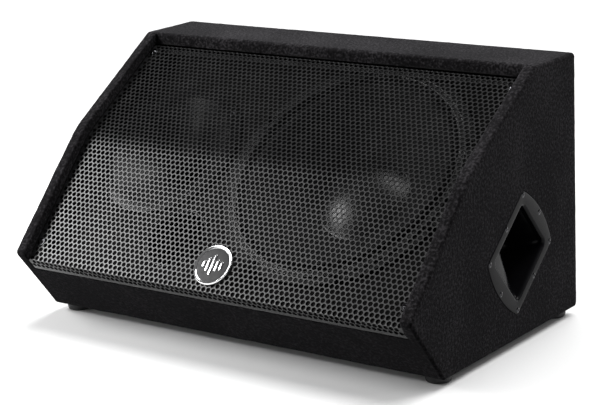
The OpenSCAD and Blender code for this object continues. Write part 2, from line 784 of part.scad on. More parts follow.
module woofer_magnet() {
    color("#2b2b2b") at_woofer() ring(magnet_r, gap_r + 9, -bowl_depth - plate_t - magnet_t,
        -bowl_depth - plate_t);
}
module woofer_back_plate() {
    back = -bowl_depth - plate_t - magnet_t;
    color(steel_colour) at_woofer() difference() {
        union() {
            disc(magnet_r - 7, back - back_t, back);
            disc(pole_r, back, -bowl_depth);
        }
        disc(14, back - back_t - over, over - bowl_depth);
    }
}
module woofer_terminals() {
    color("#7a2020") at_woofer() rotate(180) translate([landing_r - 2, 0, -bowl_depth]) {
        translate([0, -12, 0]) cube([7, 24, 12]);
        for (y = [-9, 3]) translate([7, y, 5]) cube([9, 6, 1.2]);
    }
}
t_nut_r = woofer_bolt_d / 2 + 1;
module woofer_bolts() {
    shaft = woofer_bolt_d / 2;
    color("#111111") at_woofer() woofer_bolt_places() {
        disc(shaft, -baffle_t - 6, woofer_flange_t);
        difference() {
            disc(shaft + 1.9, woofer_flange_t, woofer_flange_t + 4);
            translate([0, 0, woofer_flange_t + 1.5]) cylinder(r = 2.6, h = 4, $fn = 6);
        }
    }
}
module woofer_t_nuts() {
    color("silver") at_woofer() woofer_bolt_places() {
        ring(t_nut_r, woofer_bolt_d / 2, -baffle_t, -baffle_t / 2);
        ring(9, woofer_bolt_d / 2, -baffle_t - 1.5, -baffle_t);
    }
}

// --- input dish in the rear panel; local z points out of the rear ---
sheet_t = 2;
dish_screw_r = 1.8;
module at_dish() {
    translate([-dish_left, rear_y - carpet_t, foot_h + dish_z]) rotate([90, 0, 180]) children();
}
module centred_box(w, h, z0, z1) { translate([-w / 2, -h / 2, z0]) cube([w, h, z1 - z0]); }
module dish_block(extra) {
    centred_box(dish_w + 2 * (sheet_t + extra), dish_h + 2 * (sheet_t + extra),
        -dish_depth - sheet_t, over);
}
module dish_flange(extra, h) {
    centred_box(dish_w + 2 * (dish_rim + extra), dish_h + 2 * (dish_rim + extra), 0, h);
}
module dish_screw_places() {
    for (x = [-1, 1], y = [-1, 1])
        translate([x * (dish_w / 2 + dish_rim - 6), y * (dish_h / 2 + dish_rim - 6), 0]) children();
}
module input_dish() {
    color("#2e2f33") at_dish() difference() {
        union() {
            dish_flange(0, sheet_t);
            centred_box(dish_w + 2 * sheet_t, dish_h + 2 * sheet_t, -dish_depth - sheet_t, 0);
        }
        centred_box(dish_w, dish_h, -dish_depth, sheet_t + over);
        dish_screw_places() disc(dish_screw_r, -over, sheet_t + over);
        for (i = [-1.5 : 1.5]) translate([i * socket_pitch, 0, 0])
            disc(socket_r, -dish_depth - sheet_t - over, over - dish_depth);
    }
}
module input_dish_screws() {
    color("silver") at_dish() dish_screw_places() {
        disc(dish_screw_r, -ply_t + over, sheet_t);
        disc(3.2, sheet_t, carpet_t);
    }
}
socket_r = 11.8;
socket_flange = [26, 31];
socket_depth = 27;
speaker_ring_r = 9.6;
speaker_core_r = 5.4;
jack_bore_r = 3.2;
// A square-flanged chassis socket on the dish floor with its body behind
module chassis_socket() {
    centred_box(socket_flange[0], socket_flange[1], -dish_depth, 2.5 - dish_depth);
    disc(socket_r, -dish_depth - socket_depth, -dish_depth);
}
module speaker_sockets() {
    color("#20242c") at_dish() for (i = [-1.5, -0.5]) translate([i * socket_pitch, 0, 0]) {
        difference() {
            chassis_socket();
            disc(speaker_ring_r, -dish_depth - 20, 4 - dish_depth);
        }
        disc(speaker_core_r, -dish_depth - 20, -dish_depth);
    }
}
module jack_sockets() {
    color("#17181a") at_dish() for (i = [0.5, 1.5]) translate([i * socket_pitch, 0, 0])
        difference() {
            union() {
                chassis_socket();
                disc(8, -dish_depth, 5 - dish_depth);
            }
            disc(jack_bore_r, -dish_depth - 22, 6 - dish_depth);
        }
}

// --- crossover on the bottom panel ---
board = [160, 90, 1.6];
spacer_h = 8;
board_place = [-60, rear_in - batten - 50, floor_z];
module at_board() { translate(board_place) children(); }
board_top = spacer_h + board[2];
module spacer_places() {
    for (x = [-1, 1], y = [-1, 1]) translate([x * 72, y * 37, 0]) children();
}
module crossover_board() {
    color("#3f5a34") at_board() difference() {
        centred_box(board[0], board[1], spacer_h, board_top);
        spacer_places() disc(1.6, 0, board_top + over);
    }
}
module crossover_spacers() {
    color("silver") at_board() spacer_places() {
        ring(3.5, 1.6, 0, spacer_h);
        disc(1.6, 0, board_top);
        disc(3, board_top, board_top + 2);
    }
}
module crossover_coils() {
    color("#b06a35") at_board() {
        translate([-48, 8, 0]) ring(24, 9, board_top, board_top + 22);
        translate([8, 22, 0]) ring(17, 7, board_top, board_top + 16);
    }
}
module crossover_capacitors() {
    color("#c9b458") at_board() for (k = [0 : 2])
        translate([62 - 20 * k, -22, board_top + 8.5]) rotate([90, 0, 0])
            translate([0, 0, -18]) cylinder(r = 8.5, h = 36);
}
module crossover_resistors() {
    color("#d8d4c8") at_board() for (k = [0, 1])
        translate([34, 10 + 16 * k, board_top]) cube([30, 9, 9]);
}
module rear_wadding() {
    wad_t = 18;
    color("#8f9196") across(-60, side_in - 40)
        box_2d(rear_in - wad_t, floor_z + batten + 20, rear_in, ceiling_z - batten - 10);
}

// --- internal leads, each a tube swept along points chosen by hand ---
lead_d = 5;
lead_sides = 8;
lead_steps = 5;
function blend_point(p, i, t) = let (a = p[max(i - 1, 0)], b = p[i], c = p[i + 1],
    d = p[min(i + 2, len(p) - 1)])
    0.5 * ((2 * b) + (c - a) * t + (2 * a - 5 * b + 4 * c - d) * t * t
        + (3 * b - 3 * c + d - a) * t * t * t);
function smooth(p) = concat([for (i = [0 : len(p) - 2], k = [0 : lead_steps - 1])
    blend_point(p, i, k / lead_steps)], [p[len(p) - 1]]);
module lead(points, side) {
    path = smooth(points);
    last = len(path) - 1;
    loft([for (i = [0 : last])
        let (dir = unit(path[min(i + 1, last)] - path[max(i - 1, 0)]),
            u = unit(cross(side, dir)), w = cross(dir, u))
        [for (k = [0 : lead_sides - 1]) path[i] + lead_d / 2
            * (cos(360 * k / lead_sides) * u + sin(360 * k / lead_sides) * w)]]);
}
// Ends: a speaker socket's back, three pads on the board, a woofer tab, the driver's back cover
input_from = [socket_pitch / 2 - dish_left, rear_y - carpet_t - dish_depth - socket_depth,
    foot_h + dish_z];
input_pad = board_place + [-58, -31, board_top];
horn_pad = board_place + [-38, -31, board_top];
woofer_pad = board_place + [-18, -31, board_top];
function baffle_point(x, v, out) = let (p = on_slope(v, baffle_depth - out)) [x, p[0], p[1]];
woofer_tab = baffle_point(woofer_x - landing_r - 14, woofer_v + 6, 5.6 - bowl_depth);
cover_side = baffle_point(horn_x + hf_r - 4, horn_v, hf_back - 13);
input_route = [input_from, input_from - [0, 7, 0], input_from + [10, -9, -16],
    input_from + [28, -22, -60], input_pad + [0, 8, 50], input_pad + [0, 0, 21], input_pad];
woofer_route = [woofer_pad, woofer_pad + [0, 0, 21], woofer_pad + [8, -10, 61],
    woofer_tab - [41, -15, 26], woofer_tab - [16, 0, 0], woofer_tab];
horn_route = [horn_pad, horn_pad + [0, 0, 21], horn_pad + [-12, -8, 56],
    cover_side + [24, 3, -5], cover_side + [12, 0, 0], cover_side];
module input_lead() { color("#9c1f1f") lead(input_route, [1, 0, 0]); }
module woofer_lead() { color("#9c1f1f") lead(woofer_route, [1, 0, 0]); }
module horn_lead() { color("#9c1f1f") lead(horn_route, [1, 0, 0]); }

side_panel_right();
side_panel_left();
top_panel();
rear_panel();
bottom_panel();
lower_front_panel();
baffle();
glue_battens();
grille_blocks();
carpet_right();
carpet_left();
carpet_wrap();
grille();
grille_screws();
badge_ring();
badge_face();
feet();
foot_screws();
handle_right();
handle_left();
handle_screws_right();
handle_screws_left();
port_tube();
horn();
horn_screws();
hf_front_plate();
hf_phase_plug();
hf_magnet();
hf_rear_plate();
hf_suspension();
hf_diaphragm();
hf_back_cover();
woofer_basket();
woofer_surround();
woofer_gasket();
woofer_cone();
dust_cap();
voice_coil();
woofer_spider();
woofer_top_plate();
woofer_magnet();
woofer_back_plate();
woofer_terminals();
woofer_bolts();
woofer_t_nuts();
input_dish();
input_dish_screws();
speaker_sockets();
jack_sockets();
crossover_board();
crossover_coils();
crossover_capacitors();
crossover_resistors();
crossover_spacers();
rear_wadding();
input_lead();
woofer_lead();
horn_lead();
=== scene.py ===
import math
import random

import bmesh
import bpy
import numpy as np
from mathutils import Matrix, Vector, geometry, noise


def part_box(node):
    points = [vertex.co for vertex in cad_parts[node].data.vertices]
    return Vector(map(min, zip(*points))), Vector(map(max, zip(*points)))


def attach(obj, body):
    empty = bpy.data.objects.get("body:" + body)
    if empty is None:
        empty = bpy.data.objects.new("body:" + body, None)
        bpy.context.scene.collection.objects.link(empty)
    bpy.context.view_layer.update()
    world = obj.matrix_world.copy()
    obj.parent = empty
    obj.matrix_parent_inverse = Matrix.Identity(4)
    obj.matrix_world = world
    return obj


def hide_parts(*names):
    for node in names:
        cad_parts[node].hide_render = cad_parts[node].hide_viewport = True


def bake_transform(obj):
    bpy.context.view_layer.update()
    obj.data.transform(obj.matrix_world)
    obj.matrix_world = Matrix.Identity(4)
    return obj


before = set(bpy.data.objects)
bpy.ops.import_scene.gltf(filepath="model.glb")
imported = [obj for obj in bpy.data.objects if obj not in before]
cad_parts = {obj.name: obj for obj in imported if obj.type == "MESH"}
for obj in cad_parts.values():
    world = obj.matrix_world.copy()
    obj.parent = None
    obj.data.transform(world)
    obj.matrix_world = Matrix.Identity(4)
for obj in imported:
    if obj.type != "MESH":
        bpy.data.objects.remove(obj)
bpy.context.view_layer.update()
SCALE = 0.001

# --- sizes shared with the CAD source ---
CABINET_D, CABINET_H, FOOT_H = 440.0, 376.0, 12.0
NOSE_H, TOE_SETBACK, TOP_D = 99.0, 77.0, 112.0
BEND_ALONG, BEND_OUT, BEND_R, CORNER_R = 217.0, 26.5, 150.0, 7.0
CARPET_T, PLY_T = 2.5, 15.0
BAFFLE_DEPTH = 38.0
GRILLE_RECESS, GRILLE_T, GRILLE_GAP = 14.0, 1.5, 1.5
GRILLE_FLANGE, GRILLE_RETURN, FLANGE_LIFT = 34.0, 12.0, 0.4
HANDLE_L, HANDLE_W, HANDLE_BOW, HANDLE_T = 128.0, 120.0, 12.0, 3.0
GRIP_L, GRIP_W, POCKET_DEPTH, RAMP, UNDERCUT = 100.0, 90.0, 56.0, 16.0, 5.0
HORN_DEPTH, MOUTH_R, THROAT_R, HORN_WALL, HORN_FLANGE_T = 100.0, 98.0, 12.5, 3.0, 5.0
DISH_W, DISH_H, DISH_DEPTH, DISH_RIM, SHEET_T = 150.0, 90.0, 24.0, 16.0, 2.0
SOCKET_PITCH, SOCKET_DEPTH = 34.0, 27.0
BADGE_D, BADGE_UP, BADGE_RING_W, BADGE_H = 62.0, 40.0, 4.5, 4.0


def box_mm(node):
    lo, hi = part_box(node)
    return lo / SCALE, hi / SCALE


def centre_mm(node):
    lo, hi = box_mm(node)
    return (lo + hi) / 2


# --- the side view: points are (y, z) ---
def unit(v):
    return v / np.linalg.norm(v)


def inward(a, b):
    u = unit(b - a)
    return np.array([u[1], -u[0]])


def cross2(a, b):
    return a[0] * b[1] - a[1] * b[0]


def crossing(p, u, q, w):
    return p + u * (cross2(q - p, w) / cross2(u, w))


def inset(points, gaps):
    count = len(points)
    out = []
    for i, here in enumerate(points):
        before, after = points[i - 1], points[(i + 1) % count]
        out.append(crossing(here + inward(before, here) * gaps[i - 1], here - before,
                            here + inward(here, after) * gaps[i], after - here))
    return out


def corner_arc(before, here, after, radius, steps):
    """Points of the arc that rounds the corner at here."""
    a, b = unit(before - here), unit(after - here)
    half = math.acos(max(-1, min(1, float(a @ b)))) / 2
    mid = here + unit(a + b) * radius / math.sin(half)
    start = here + a * radius / math.tan(half) - mid
    end = here + b * radius / math.tan(half) - mid
    a0 = math.atan2(start[1], start[0])
    turn = (math.atan2(end[1], end[0]) - a0 + math.pi) % (2 * math.pi) - math.pi
    return [mid + radius * np.array([math.cos(a0 + turn * k / steps), math.sin(a0 + turn * k / steps)])
            for k in range(steps + 1)]


raw_nose = np.array([0.0, FOOT_H + NOSE_H])
raw_top = np.array([CABINET_D - TOP_D, FOOT_H + CABINET_H])
chord = unit(raw_top - raw_nose)
chord_out = np.array([-chord[1], chord[0]])
SLOPE = math.atan2(chord[1], chord[0])
shift = box_mm("carpet_wrap")[1].y - CABINET_D
profile = [p + np.array([shift, 0]) for p in (
    np.array([TOE_SETBACK, FOOT_H]), raw_nose, raw_nose + chord * BEND_ALONG + chord_out * BEND_OUT,
    raw_top, np.array([CABINET_D, FOOT_H + CABINET_H]), np.array([CABINET_D, FOOT_H]))]
toe, nose, bend, top_front, rear_top, rear_foot = profile
OUTER_RADII = [CORNER_R, CORNER_R, BEND_R, CORNER_R, CORNER_R, CORNER_R]
half_w = box_mm("carpet_right")[1].x
side_out = half_w - CARPET_T
side_in = side_out - PLY_T
rear_y = profile[4][0]

# The grille's folds: at the nose flange, at the bend and at the top lip
upper_dir = unit(top_front - bend)
lip_y = top_front[0] - GRILLE_GAP
flange_end = nose + unit(toe - nose) * GRILLE_FLANGE
fold_low = crossing(nose + inward(toe, nose) * FLANGE_LIFT, unit(nose - toe),
                    nose + inward(nose, bend) * GRILLE_RECESS, unit(bend - nose))
fold_bend = crossing(bend + inward(nose, bend) * GRILLE_RECESS, unit(bend - nose),
                     bend + inward(bend, top_front) * GRILLE_RECESS, upper_dir)
fold_lip = crossing(bend + inward(bend, top_front) * GRILLE_RECESS, upper_dir,
                    np.array([lip_y, 0.0]), np.array([0.0, 1.0]))


def on_slope(v, depth):
    return nose + chord * v - chord_out * depth


def frame_at(x, yz, tilt):
    return Matrix.Translation((x, yz[0], yz[1])) @ Matrix.Rotation(tilt, 4, "X")


def baffle_place(node):
    """The frame on the baffle's front face under the middle of a node that is round about its own axis."""
    mid = centre_mm(node)
    v = float((np.array([mid.y, mid.z]) - nose) @ chord)
    return frame_at(mid.x, on_slope(v, BAFFLE_DEPTH), SLOPE)


def grille_face_place(start, end, along, x):
    direction = unit(end - start)
    spot = start + direction * along + inward(start, end) * GRILLE_RECESS
    return frame_at(x, spot, math.atan2(direction[1], direction[0]))


def handle_place(side):
    mid = centre_mm("handle_screws_right")
    place = (Matrix.Translation((side_out, mid.y, mid.z)) @ Matrix.Rotation(SLOPE, 4, "X")
             @ Matrix.Rotation(math.pi / 2, 4, "Y"))
    return place if side > 0 else Matrix.Scale(-1, 4, (1, 0, 0)) @ place


dish_mid = centre_mm("input_dish")
dish_place = (Matrix.Translation((dish_mid.x, rear_y - CARPET_T, dish_mid.z))
              @ Matrix.Rotation(math.pi, 4, "Z") @ Matrix.Rotation(math.pi / 2, 4, "X"))
woofer_place = baffle_place("woofer_gasket")
horn_place = baffle_place("hf_magnet")
port_place = baffle_place("port_tube")
badge_place = grille_face_place(nose, bend, BADGE_UP, 0)


# --- mesh code: a shape is (vertices, faces) ---
def moved(shape, matrix):
    verts, faces = shape
    out = [matrix @ Vector(v) for v in verts]
    if matrix.determinant() < 0:
        faces = [f[::-1] for f in faces]
    return out, faces


def joined(shapes):
    verts, faces = [], []
    for v, f in shapes:
        base = len(verts)
        verts += list(v)
        faces += [tuple(i + base for i in g) for g in f]
    return verts, faces


def band(a, b, n):
    """The faces between the ring of n points from vertex a and the one from vertex b."""
    return [(a + j, a + (j + 1) % n, b + (j + 1) % n, b + j) for j in range(n)]


def loft(rings, loop=False):
    """A closed solid through rings of points, capped at both ends, or a closed loop of rings."""
    n = len(rings[0])
    verts = [p for r in rings for p in r]
    count = len(rings)
    faces = []
    for k in range(count if loop else count - 1):
        faces += band(k * n, (k + 1) % count * n, n)
    if not loop:
        faces += [tuple(reversed(range(n))), tuple((count - 1) * n + j for j in range(n))]
    return verts, faces


def circle(r, z, n):
    return [(r * math.cos(2 * math.pi * k / n), r * math.sin(2 * math.pi * k / n), z) for k in range(n)]


def turned(section, n=96, loop=False):
    """A solid of revolution about local z from (r, z) pairs; loop closes a ring's section."""
    return loft([circle(max(r, 0.02), z, n) for r, z in section], loop)


def round_rect(low_x, high_x, half_y, r, z, corner_steps=6, side_steps=8):
    """A rounded rectangle's ring, anticlockwise from its right side."""
    corners = [(high_x - r, -half_y + r, -90), (high_x - r, half_y - r, 0),
               (low_x + r, half_y - r, 90), (low_x + r, -half_y + r, 180)]
    ring = []
    for i, (cx, cy, a0) in enumerate(corners):
        arc = [(cx + r * math.cos(math.radians(a0 + 90 * k / corner_steps)),
                cy + r * math.sin(math.radians(a0 + 90 * k / corner_steps))) for k in range(corner_steps + 1)]
        nx, ny, na = corners[(i + 1) % 4]
        nxt = (nx + r * math.cos(math.radians(na)), ny + r * math.sin(math.radians(na)))
        ring += arc
        ring += [tuple(arc[-1][d] + (nxt[d] - arc[-1][d]) * k / side_steps for d in (0, 1))
                 for k in range(1, side_steps)]
    return [(x, y, z) for x, y in ring]


def slab(half_x, half_y, z0, z1, r, edge=0.6):
    """A plate with rounded corners and eased top edges."""
    def ring(cut, r, z):
        return round_rect(cut - half_x, half_x - cut, half_y - cut, r, z, 4, 2)

    return loft([ring(0, r, z0), ring(0, r, z1 - edge), ring(edge * 0.3, r, z1 - edge * 0.3),
                 ring(edge, max(r - edge, 0.2), z1)])


def piece(name, shape, mat, body="cabinet", sharp=35, replaces=()):
    """Makes the Blender object for a shape in millimetres and rides it on a body."""
    verts, faces = shape
    mesh = bpy.data.meshes.new(name)
    mesh.from_pydata([tuple(c * SCALE for c in v) for v in verts], [], faces)
    mesh.validate()
    mesh.shade_smooth()
    mesh.set_sharp_from_angle(angle=math.radians(sharp))
    obj = bpy.data.objects.new(name, mesh)
    bpy.context.scene.collection.objects.link(obj)
    mesh.materials.append(mat)
    if body:
        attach(obj, body)
    if replaces:
        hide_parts(*replaces)
    return obj


# --- materials ---
def new_material(name):
    mat = bpy.data.materials.new(name)
    mat.use_nodes = True
    tree = mat.node_tree
    shader = next(n for n in tree.nodes if n.type == "BSDF_PRINCIPLED")
    coords = tree.nodes.new("ShaderNodeTexCoord")
    return mat, tree, shader, coords.outputs["Object"]


def noise_node(tree, coords, scale, detail=2.0, stretch=None):
    if stretch:
        mapping = tree.nodes.new("ShaderNodeMapping")
        mapping.inputs["Scale"].default_value = stretch
        tree.links.new(coords, mapping.inputs["Vector"])
        coords = mapping.outputs["Vector"]
    node = tree.nodes.new("ShaderNodeTexNoise")
    node.inputs["Scale"].default_value = scale
    node.inputs["Detail"].default_value = detail
    tree.links.new(coords, node.inputs["Vector"])
    return node.outputs["Fac"]


def ramp(tree, fac, stops):
    node = tree.nodes.new("ShaderNodeValToRGB")
    node.color_ramp.elements[0].position, node.color_ramp.elements[0].color = stops[0][0], (*stops[0][1], 1)
    node.color_ramp.elements[1].position, node.color_ramp.elements[1].color = stops[-1][0], (*stops[-1][1], 1)
    for place, colour in stops[1:-1]:
        node.color_ramp.elements.new(place).color = (*colour, 1)
    tree.links.new(fac, node.inputs["Fac"])
    return node.outputs["Color"]


def spread_value(tree, fac, low, high):
    node = tree.nodes.new("ShaderNodeMapRange")
    node.inputs["From Min"].default_value, node.inputs["From Max"].default_value = 0.3, 0.7
    node.inputs["To Min"].default_value, node.inputs["To Max"].default_value = low, high
    tree.links.new(fac, node.inputs["Value"])
    return node.outputs["Result"]


def bump(tree, height, distance, strength=1.0, after=None):
    node = tree.nodes.new("ShaderNodeBump")
    node.inputs["Distance"].default_value = distance * SCALE
    node.inputs["Strength"].default_value = strength
    tree.links.new(height, node.inputs["Height"])
    if after:
        tree.links.new(after, node.inputs["Normal"])
    return node.outputs["Normal"]


def weighted(tree, first, first_share, second, second_share):
    """first * first_share + second * second_share."""
    part = tree.nodes.new("ShaderNodeMath")
    part.operation = "MULTIPLY"
    part.inputs[1].default_value = second_share
    tree.links.new(second, part.inputs[0])
    total = tree.nodes.new("ShaderNodeMath")
    total.operation = "MULTIPLY_ADD"
    total.inputs[1].default_value = first_share
    tree.links.new(first, total.inputs[0])
    tree.links.new(part.outputs[0], total.inputs[2])
    return total.outputs[0]


def shade(colour, k):
    return tuple(min(1.0, c * k) for c in colour)


def finish(name, colour, rough, vary=0.15, grain=1.0, grain_mm=0.05, patch=25.0, rough_vary=0.06,
           metal=0.0, specular=0.5, sheen=0.0):
    """A finish with colour patches about patch mm wide and a bumpy grain, grain mm wide and grain_mm deep."""
    mat, tree, shader, coords = new_material(name)
    wide = noise_node(tree, coords, 1000.0 / patch, 4.0)
    fine = noise_node(tree, coords, 1000.0 / grain, 3.0)
    colour_out = ramp(tree, weighted(tree, wide, 0.5, fine, 0.5),
                      [(0.32, shade(colour, 1 - vary)), (0.68, shade(colour, 1 + vary))])
    tree.links.new(colour_out, shader.inputs["Base Color"])
    roughness = spread_value(tree, wide, rough - rough_vary, rough + rough_vary)
    tree.links.new(roughness, shader.inputs["Roughness"])
    tree.links.new(bump(tree, fine, grain_mm), shader.inputs["Normal"])
    for socket, value in (("Metallic", metal), ("Specular IOR Level", specular), ("Sheen Weight", sheen)):
        shader.inputs[socket].default_value = value
    return mat


def carpet_finish(name):
    """Needled polyester carpet: dark felted fibres in small clumps, with a slight sheen."""
    mat, tree, shader, coords = new_material(name)
    clumps = noise_node(tree, coords, 260.0, 4.0)
    fibres = noise_node(tree, coords, 1100.0, 4.0)
    wide = noise_node(tree, coords, 11.0, 3.0)
    colour = ramp(tree, weighted(tree, clumps, 0.75, wide, 0.25),
                  [(0.37, (0.0022, 0.002, 0.0022)), (0.5, (0.0082, 0.0076, 0.0083)),
                   (0.64, (0.034, 0.0318, 0.0345))])
    tree.links.new(colour, shader.inputs["Base Color"])
    tree.links.new(bump(tree, fibres, 0.45, after=bump(tree, clumps, 0.7)), shader.inputs["Normal"])
    for socket, value in (("Roughness", 1.0), ("Specular IOR Level", 0.05), ("Sheen Weight", 0.05),
                          ("Sheen Roughness", 0.5), ("Sheen Tint", (0.85, 0.84, 0.9, 1))):
        shader.inputs[socket].default_value = value
    return mat


def wood_finish(name, light, dark, rough=0.6, specular=0.5):
    """Bare or stained wood with grain along X."""
    mat, tree, shader, coords = new_material(name)
    grain = noise_node(tree, coords, 60.0, 6.0, (0.08, 1.0, 1.0))
    pores = noise_node(tree, coords, 420.0, 3.0, (0.05, 1.0, 1.0))
    tree.links.new(ramp(tree, grain, [(0.35, dark), (0.5, light), (0.62, dark), (0.75, light)]),
                   shader.inputs["Base Color"])
    tree.links.new(spread_value(tree, pores, rough - 0.1, rough + 0.1), shader.inputs["Roughness"])
    tree.links.new(bump(tree, pores, 0.15), shader.inputs["Normal"])
    shader.inputs["Specular IOR Level"].default_value = specular
    return mat


CARPET = carpet_finish("carpet_felt")
PLY = wood_finish("ply_birch", (0.42, 0.28, 0.16), (0.30, 0.18, 0.09))
BLACK_PLY = wood_finish("ply_stained_black", (0.006, 0.0055, 0.0055), (0.003, 0.003, 0.003), 0.8, 0.12)
PINE = wood_finish("batten_pine", (0.55, 0.38, 0.2), (0.40, 0.25, 0.12))
GRILLE = finish("grille_powder_coat", (0.006, 0.006, 0.0065), 0.38, 0.12, 0.5, 0.02, 30, 0.04, specular=0.6)
SCREW = finish("screw_zinc", (0.62, 0.62, 0.6), 0.25, 0.1, 0.3, 0.01, 3, 0.06, metal=1.0)
DARK_SCREW = finish("screw_black_zinc", (0.045, 0.045, 0.048), 0.2, 0.15, 0.3, 0.01, 3, 0.05, metal=1.0)
CHROME = finish("badge_chrome", (0.82, 0.82, 0.83), 0.16, 0.04, 0.5, 0.006, 12, 0.04, metal=1.0)
BADGE = finish("badge_enamel", (0.011, 0.011, 0.012), 0.5, 0.15, 0.4, 0.01, 8, 0.05, specular=0.3)
PLASTIC = finish("handle_abs", (0.006, 0.006, 0.007), 0.2, 0.12, 0.7, 0.01, 20, 0.04, specular=0.07)
HORN_ABS = finish("horn_abs", (0.004, 0.004, 0.0045), 0.3, 0.1, 0.9, 0.012, 30, 0.04, specular=0.2)
RUBBER = finish("foot_rubber_black", (0.014, 0.014, 0.015), 0.55, 0.2, 0.8, 0.06, 6, 0.08)
BASKET = finish("basket_enamel", (0.008, 0.008, 0.0085), 0.5, 0.15, 1.2, 0.06, 20, 0.06, specular=0.25)
CLOTH = finish("surround_treated_cloth", (0.006, 0.006, 0.0065), 0.6, 0.2, 0.6, 0.08, 10, 0.08, specular=0.2)
GASKET = finish("gasket_rubber", (0.008, 0.008, 0.0085), 0.3, 0.2, 0.9, 0.04, 12, 0.06, specular=0.9)
PAPER = finish("cone_pressed_paper", (0.007, 0.007, 0.0075), 0.7, 0.3, 1.4, 0.12, 12, 0.06, specular=0.15)
CAP = finish("cap_coated_paper", (0.007, 0.007, 0.0075), 0.3, 0.15, 1.0, 0.05, 10, 0.05, specular=0.45)
STEEL = finish("plate_zinc", (0.55, 0.55, 0.52), 0.35, 0.12, 1.5, 0.02, 15, 0.08, metal=1.0)
FERRITE = finish("magnet_ferrite", (0.035, 0.035, 0.037), 0.55, 0.2, 0.6, 0.05, 15, 0.08)
COPPER = finish("coil_wire", (0.72, 0.32, 0.14), 0.3, 0.15, 0.5, 0.1, 4, 0.05, metal=1.0)
GOLD_CLOTH = finish("spider_cloth", (0.52, 0.38, 0.17), 0.8, 0.2, 0.7, 0.12, 8, 0.05)
DIAPHRAGM = finish("diaphragm_titanium", (0.6, 0.58, 0.55), 0.28, 0.08, 0.6, 0.01, 8, 0.05, metal=1.0)
PHASE = finish("phase_plug_cast", (0.3, 0.3, 0.31), 0.45, 0.12, 0.8, 0.04, 6, 0.06, metal=0.6)
COVER = finish("cover_moulded", (0.02, 0.02, 0.02), 0.45, 0.15, 0.8, 0.05, 15, 0.06)
RED = finish("terminal_fibre", (0.35, 0.05, 0.04), 0.6, 0.2, 0.8, 0.08, 6, 0.06)
DISH = finish("dish_textured_paint", (0.022, 0.022, 0.024), 0.48, 0.15, 0.8, 0.12, 18, 0.06)
BLUE = finish("socket_twist_ring", (0.05, 0.16, 0.5), 0.4, 0.12, 0.7, 0.03, 8, 0.05)
BLACK_ABS = finish("socket_moulded", (0.018, 0.018, 0.02), 0.38, 0.15, 0.6, 0.03, 8, 0.06)
BOARD = finish("board_laminate", (0.05, 0.12, 0.05), 0.5, 0.18, 0.8, 0.03, 20, 0.08)
FILM = finish("capacitor_film", (0.55, 0.44, 0.12), 0.35, 0.1, 0.8, 0.03, 10, 0.06)
CERAMIC = finish("resistor_ceramic", (0.68, 0.66, 0.6), 0.75, 0.1, 0.5, 0.08, 6, 0.06)
WADDING = finish("wadding_polyester", (0.42, 0.43, 0.45), 0.95, 0.35, 3.0, 1.2, 14, 0.04, sheen=0.4)
LEAD = finish("lead_sheath", (0.3, 0.025, 0.02), 0.45, 0.2, 0.8, 0.03, 6, 0.08)

CAD_FINISHES = (
    (BLACK_PLY, "side_panel_right side_panel_left top_panel lower_front_panel baffle grille_blocks"),
    (PLY, "rear_panel bottom_panel"), (PINE, "glue_battens"),
    (STEEL, "hf_front_plate hf_rear_plate woofer_top_plate woofer_back_plate woofer_t_nuts"),
    (STEEL, "crossover_spacers"),
    (FERRITE, "hf_magnet woofer_magnet"), (PHASE, "hf_phase_plug"), (DIAPHRAGM, "hf_diaphragm"),
    (COVER, "hf_back_cover"), (BASKET, "woofer_basket"),
    (COPPER, "voice_coil crossover_coils"), (RED, "woofer_terminals"), (DARK_SCREW, "woofer_bolts"),
    (BOARD, "crossover_board"), (FILM, "crossover_capacitors"), (CERAMIC, "crossover_resistors"),
    (WADDING, "rear_wadding"), (LEAD, "input_lead woofer_lead horn_lead"))
for mat, names in CAD_FINISHES:
    for node in names.split():
        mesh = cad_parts[node].data
        mesh.materials.clear()
        mesh.materials.append(mat)


# --- carpet: two side skins folded over the cut edges, and one wrap round the cabinet ---
SEAM_X = 343.0
EDGE_R = 4.0
FOLD_X = side_in - 1.0
FOLD_END = GRILLE_RECESS - 1.0
ARC_STEPS = 7
STEP = 7.0
flange_share = 1 - (GRILLE_FLANGE + 2) / np.linalg.norm(toe - nose)


def edge_shares(i):
    """Where the samples lie along edge i of the profile, the same on every inset copy of it."""
    length = np.linalg.norm(profile[(i + 1) % 6] - profile[i])
    count = max(2, round(length / STEP))
    shares = [k / count for k in range(1, count)]
    if i == 0:
        shares = [s for s in shares if abs(s - flange_share) > 0.03]
        shares = sorted(shares + [flange_share - 0.002, flange_share + 0.002])
    return shares


def outline(depth):
    """Samples round the profile inset by depth, as (y, z, edge number, share along it)."""
    ring = inset(profile, [depth] * 6)
    out = []
    for i in range(6):
        before, here, after = ring[i - 1], ring[i], ring[(i + 1) % 6]
        arc = corner_arc(before, here, after, max(OUTER_RADII[i] - depth, 0.4), ARC_STEPS)
        out += [(*p, i - 0.5, k / ARC_STEPS) for k, p in enumerate(arc)]
        next_r = max(OUTER_RADII[(i + 1) % 6] - depth, 0.4)
        nxt = corner_arc(here, after, ring[(i + 2) % 6], next_r, ARC_STEPS)[0]
        out += [(*(arc[-1] + (nxt - arc[-1]) * s), i, s) for s in edge_shares(i)]
    return out


def is_front(sample):
    """Whether the side panel's cut edge shows at this sample, beside the grille."""
    edge, share = sample[2], sample[3]
    if edge == 0:
        return share > flange_share
    if edge == 2.5:
        return share < 0.5
    return edge in (0.5, 1, 1.5, 2)


def handle_ring(grow, z):
    """The handle flange's outline with its bowed short ends, grown by grow, in the handle's frame."""
    half_x, half_y = HANDLE_W / 2 + grow, HANDLE_L / 2 + grow
    ring = round_rect(-half_x, half_x, half_y, 5.0 + grow, z, 6, 12)
    return [(x, y * (1 + HANDLE_BOW * (1 - (x / half_x) ** 2) / half_y), z) for x, y, z in ring]


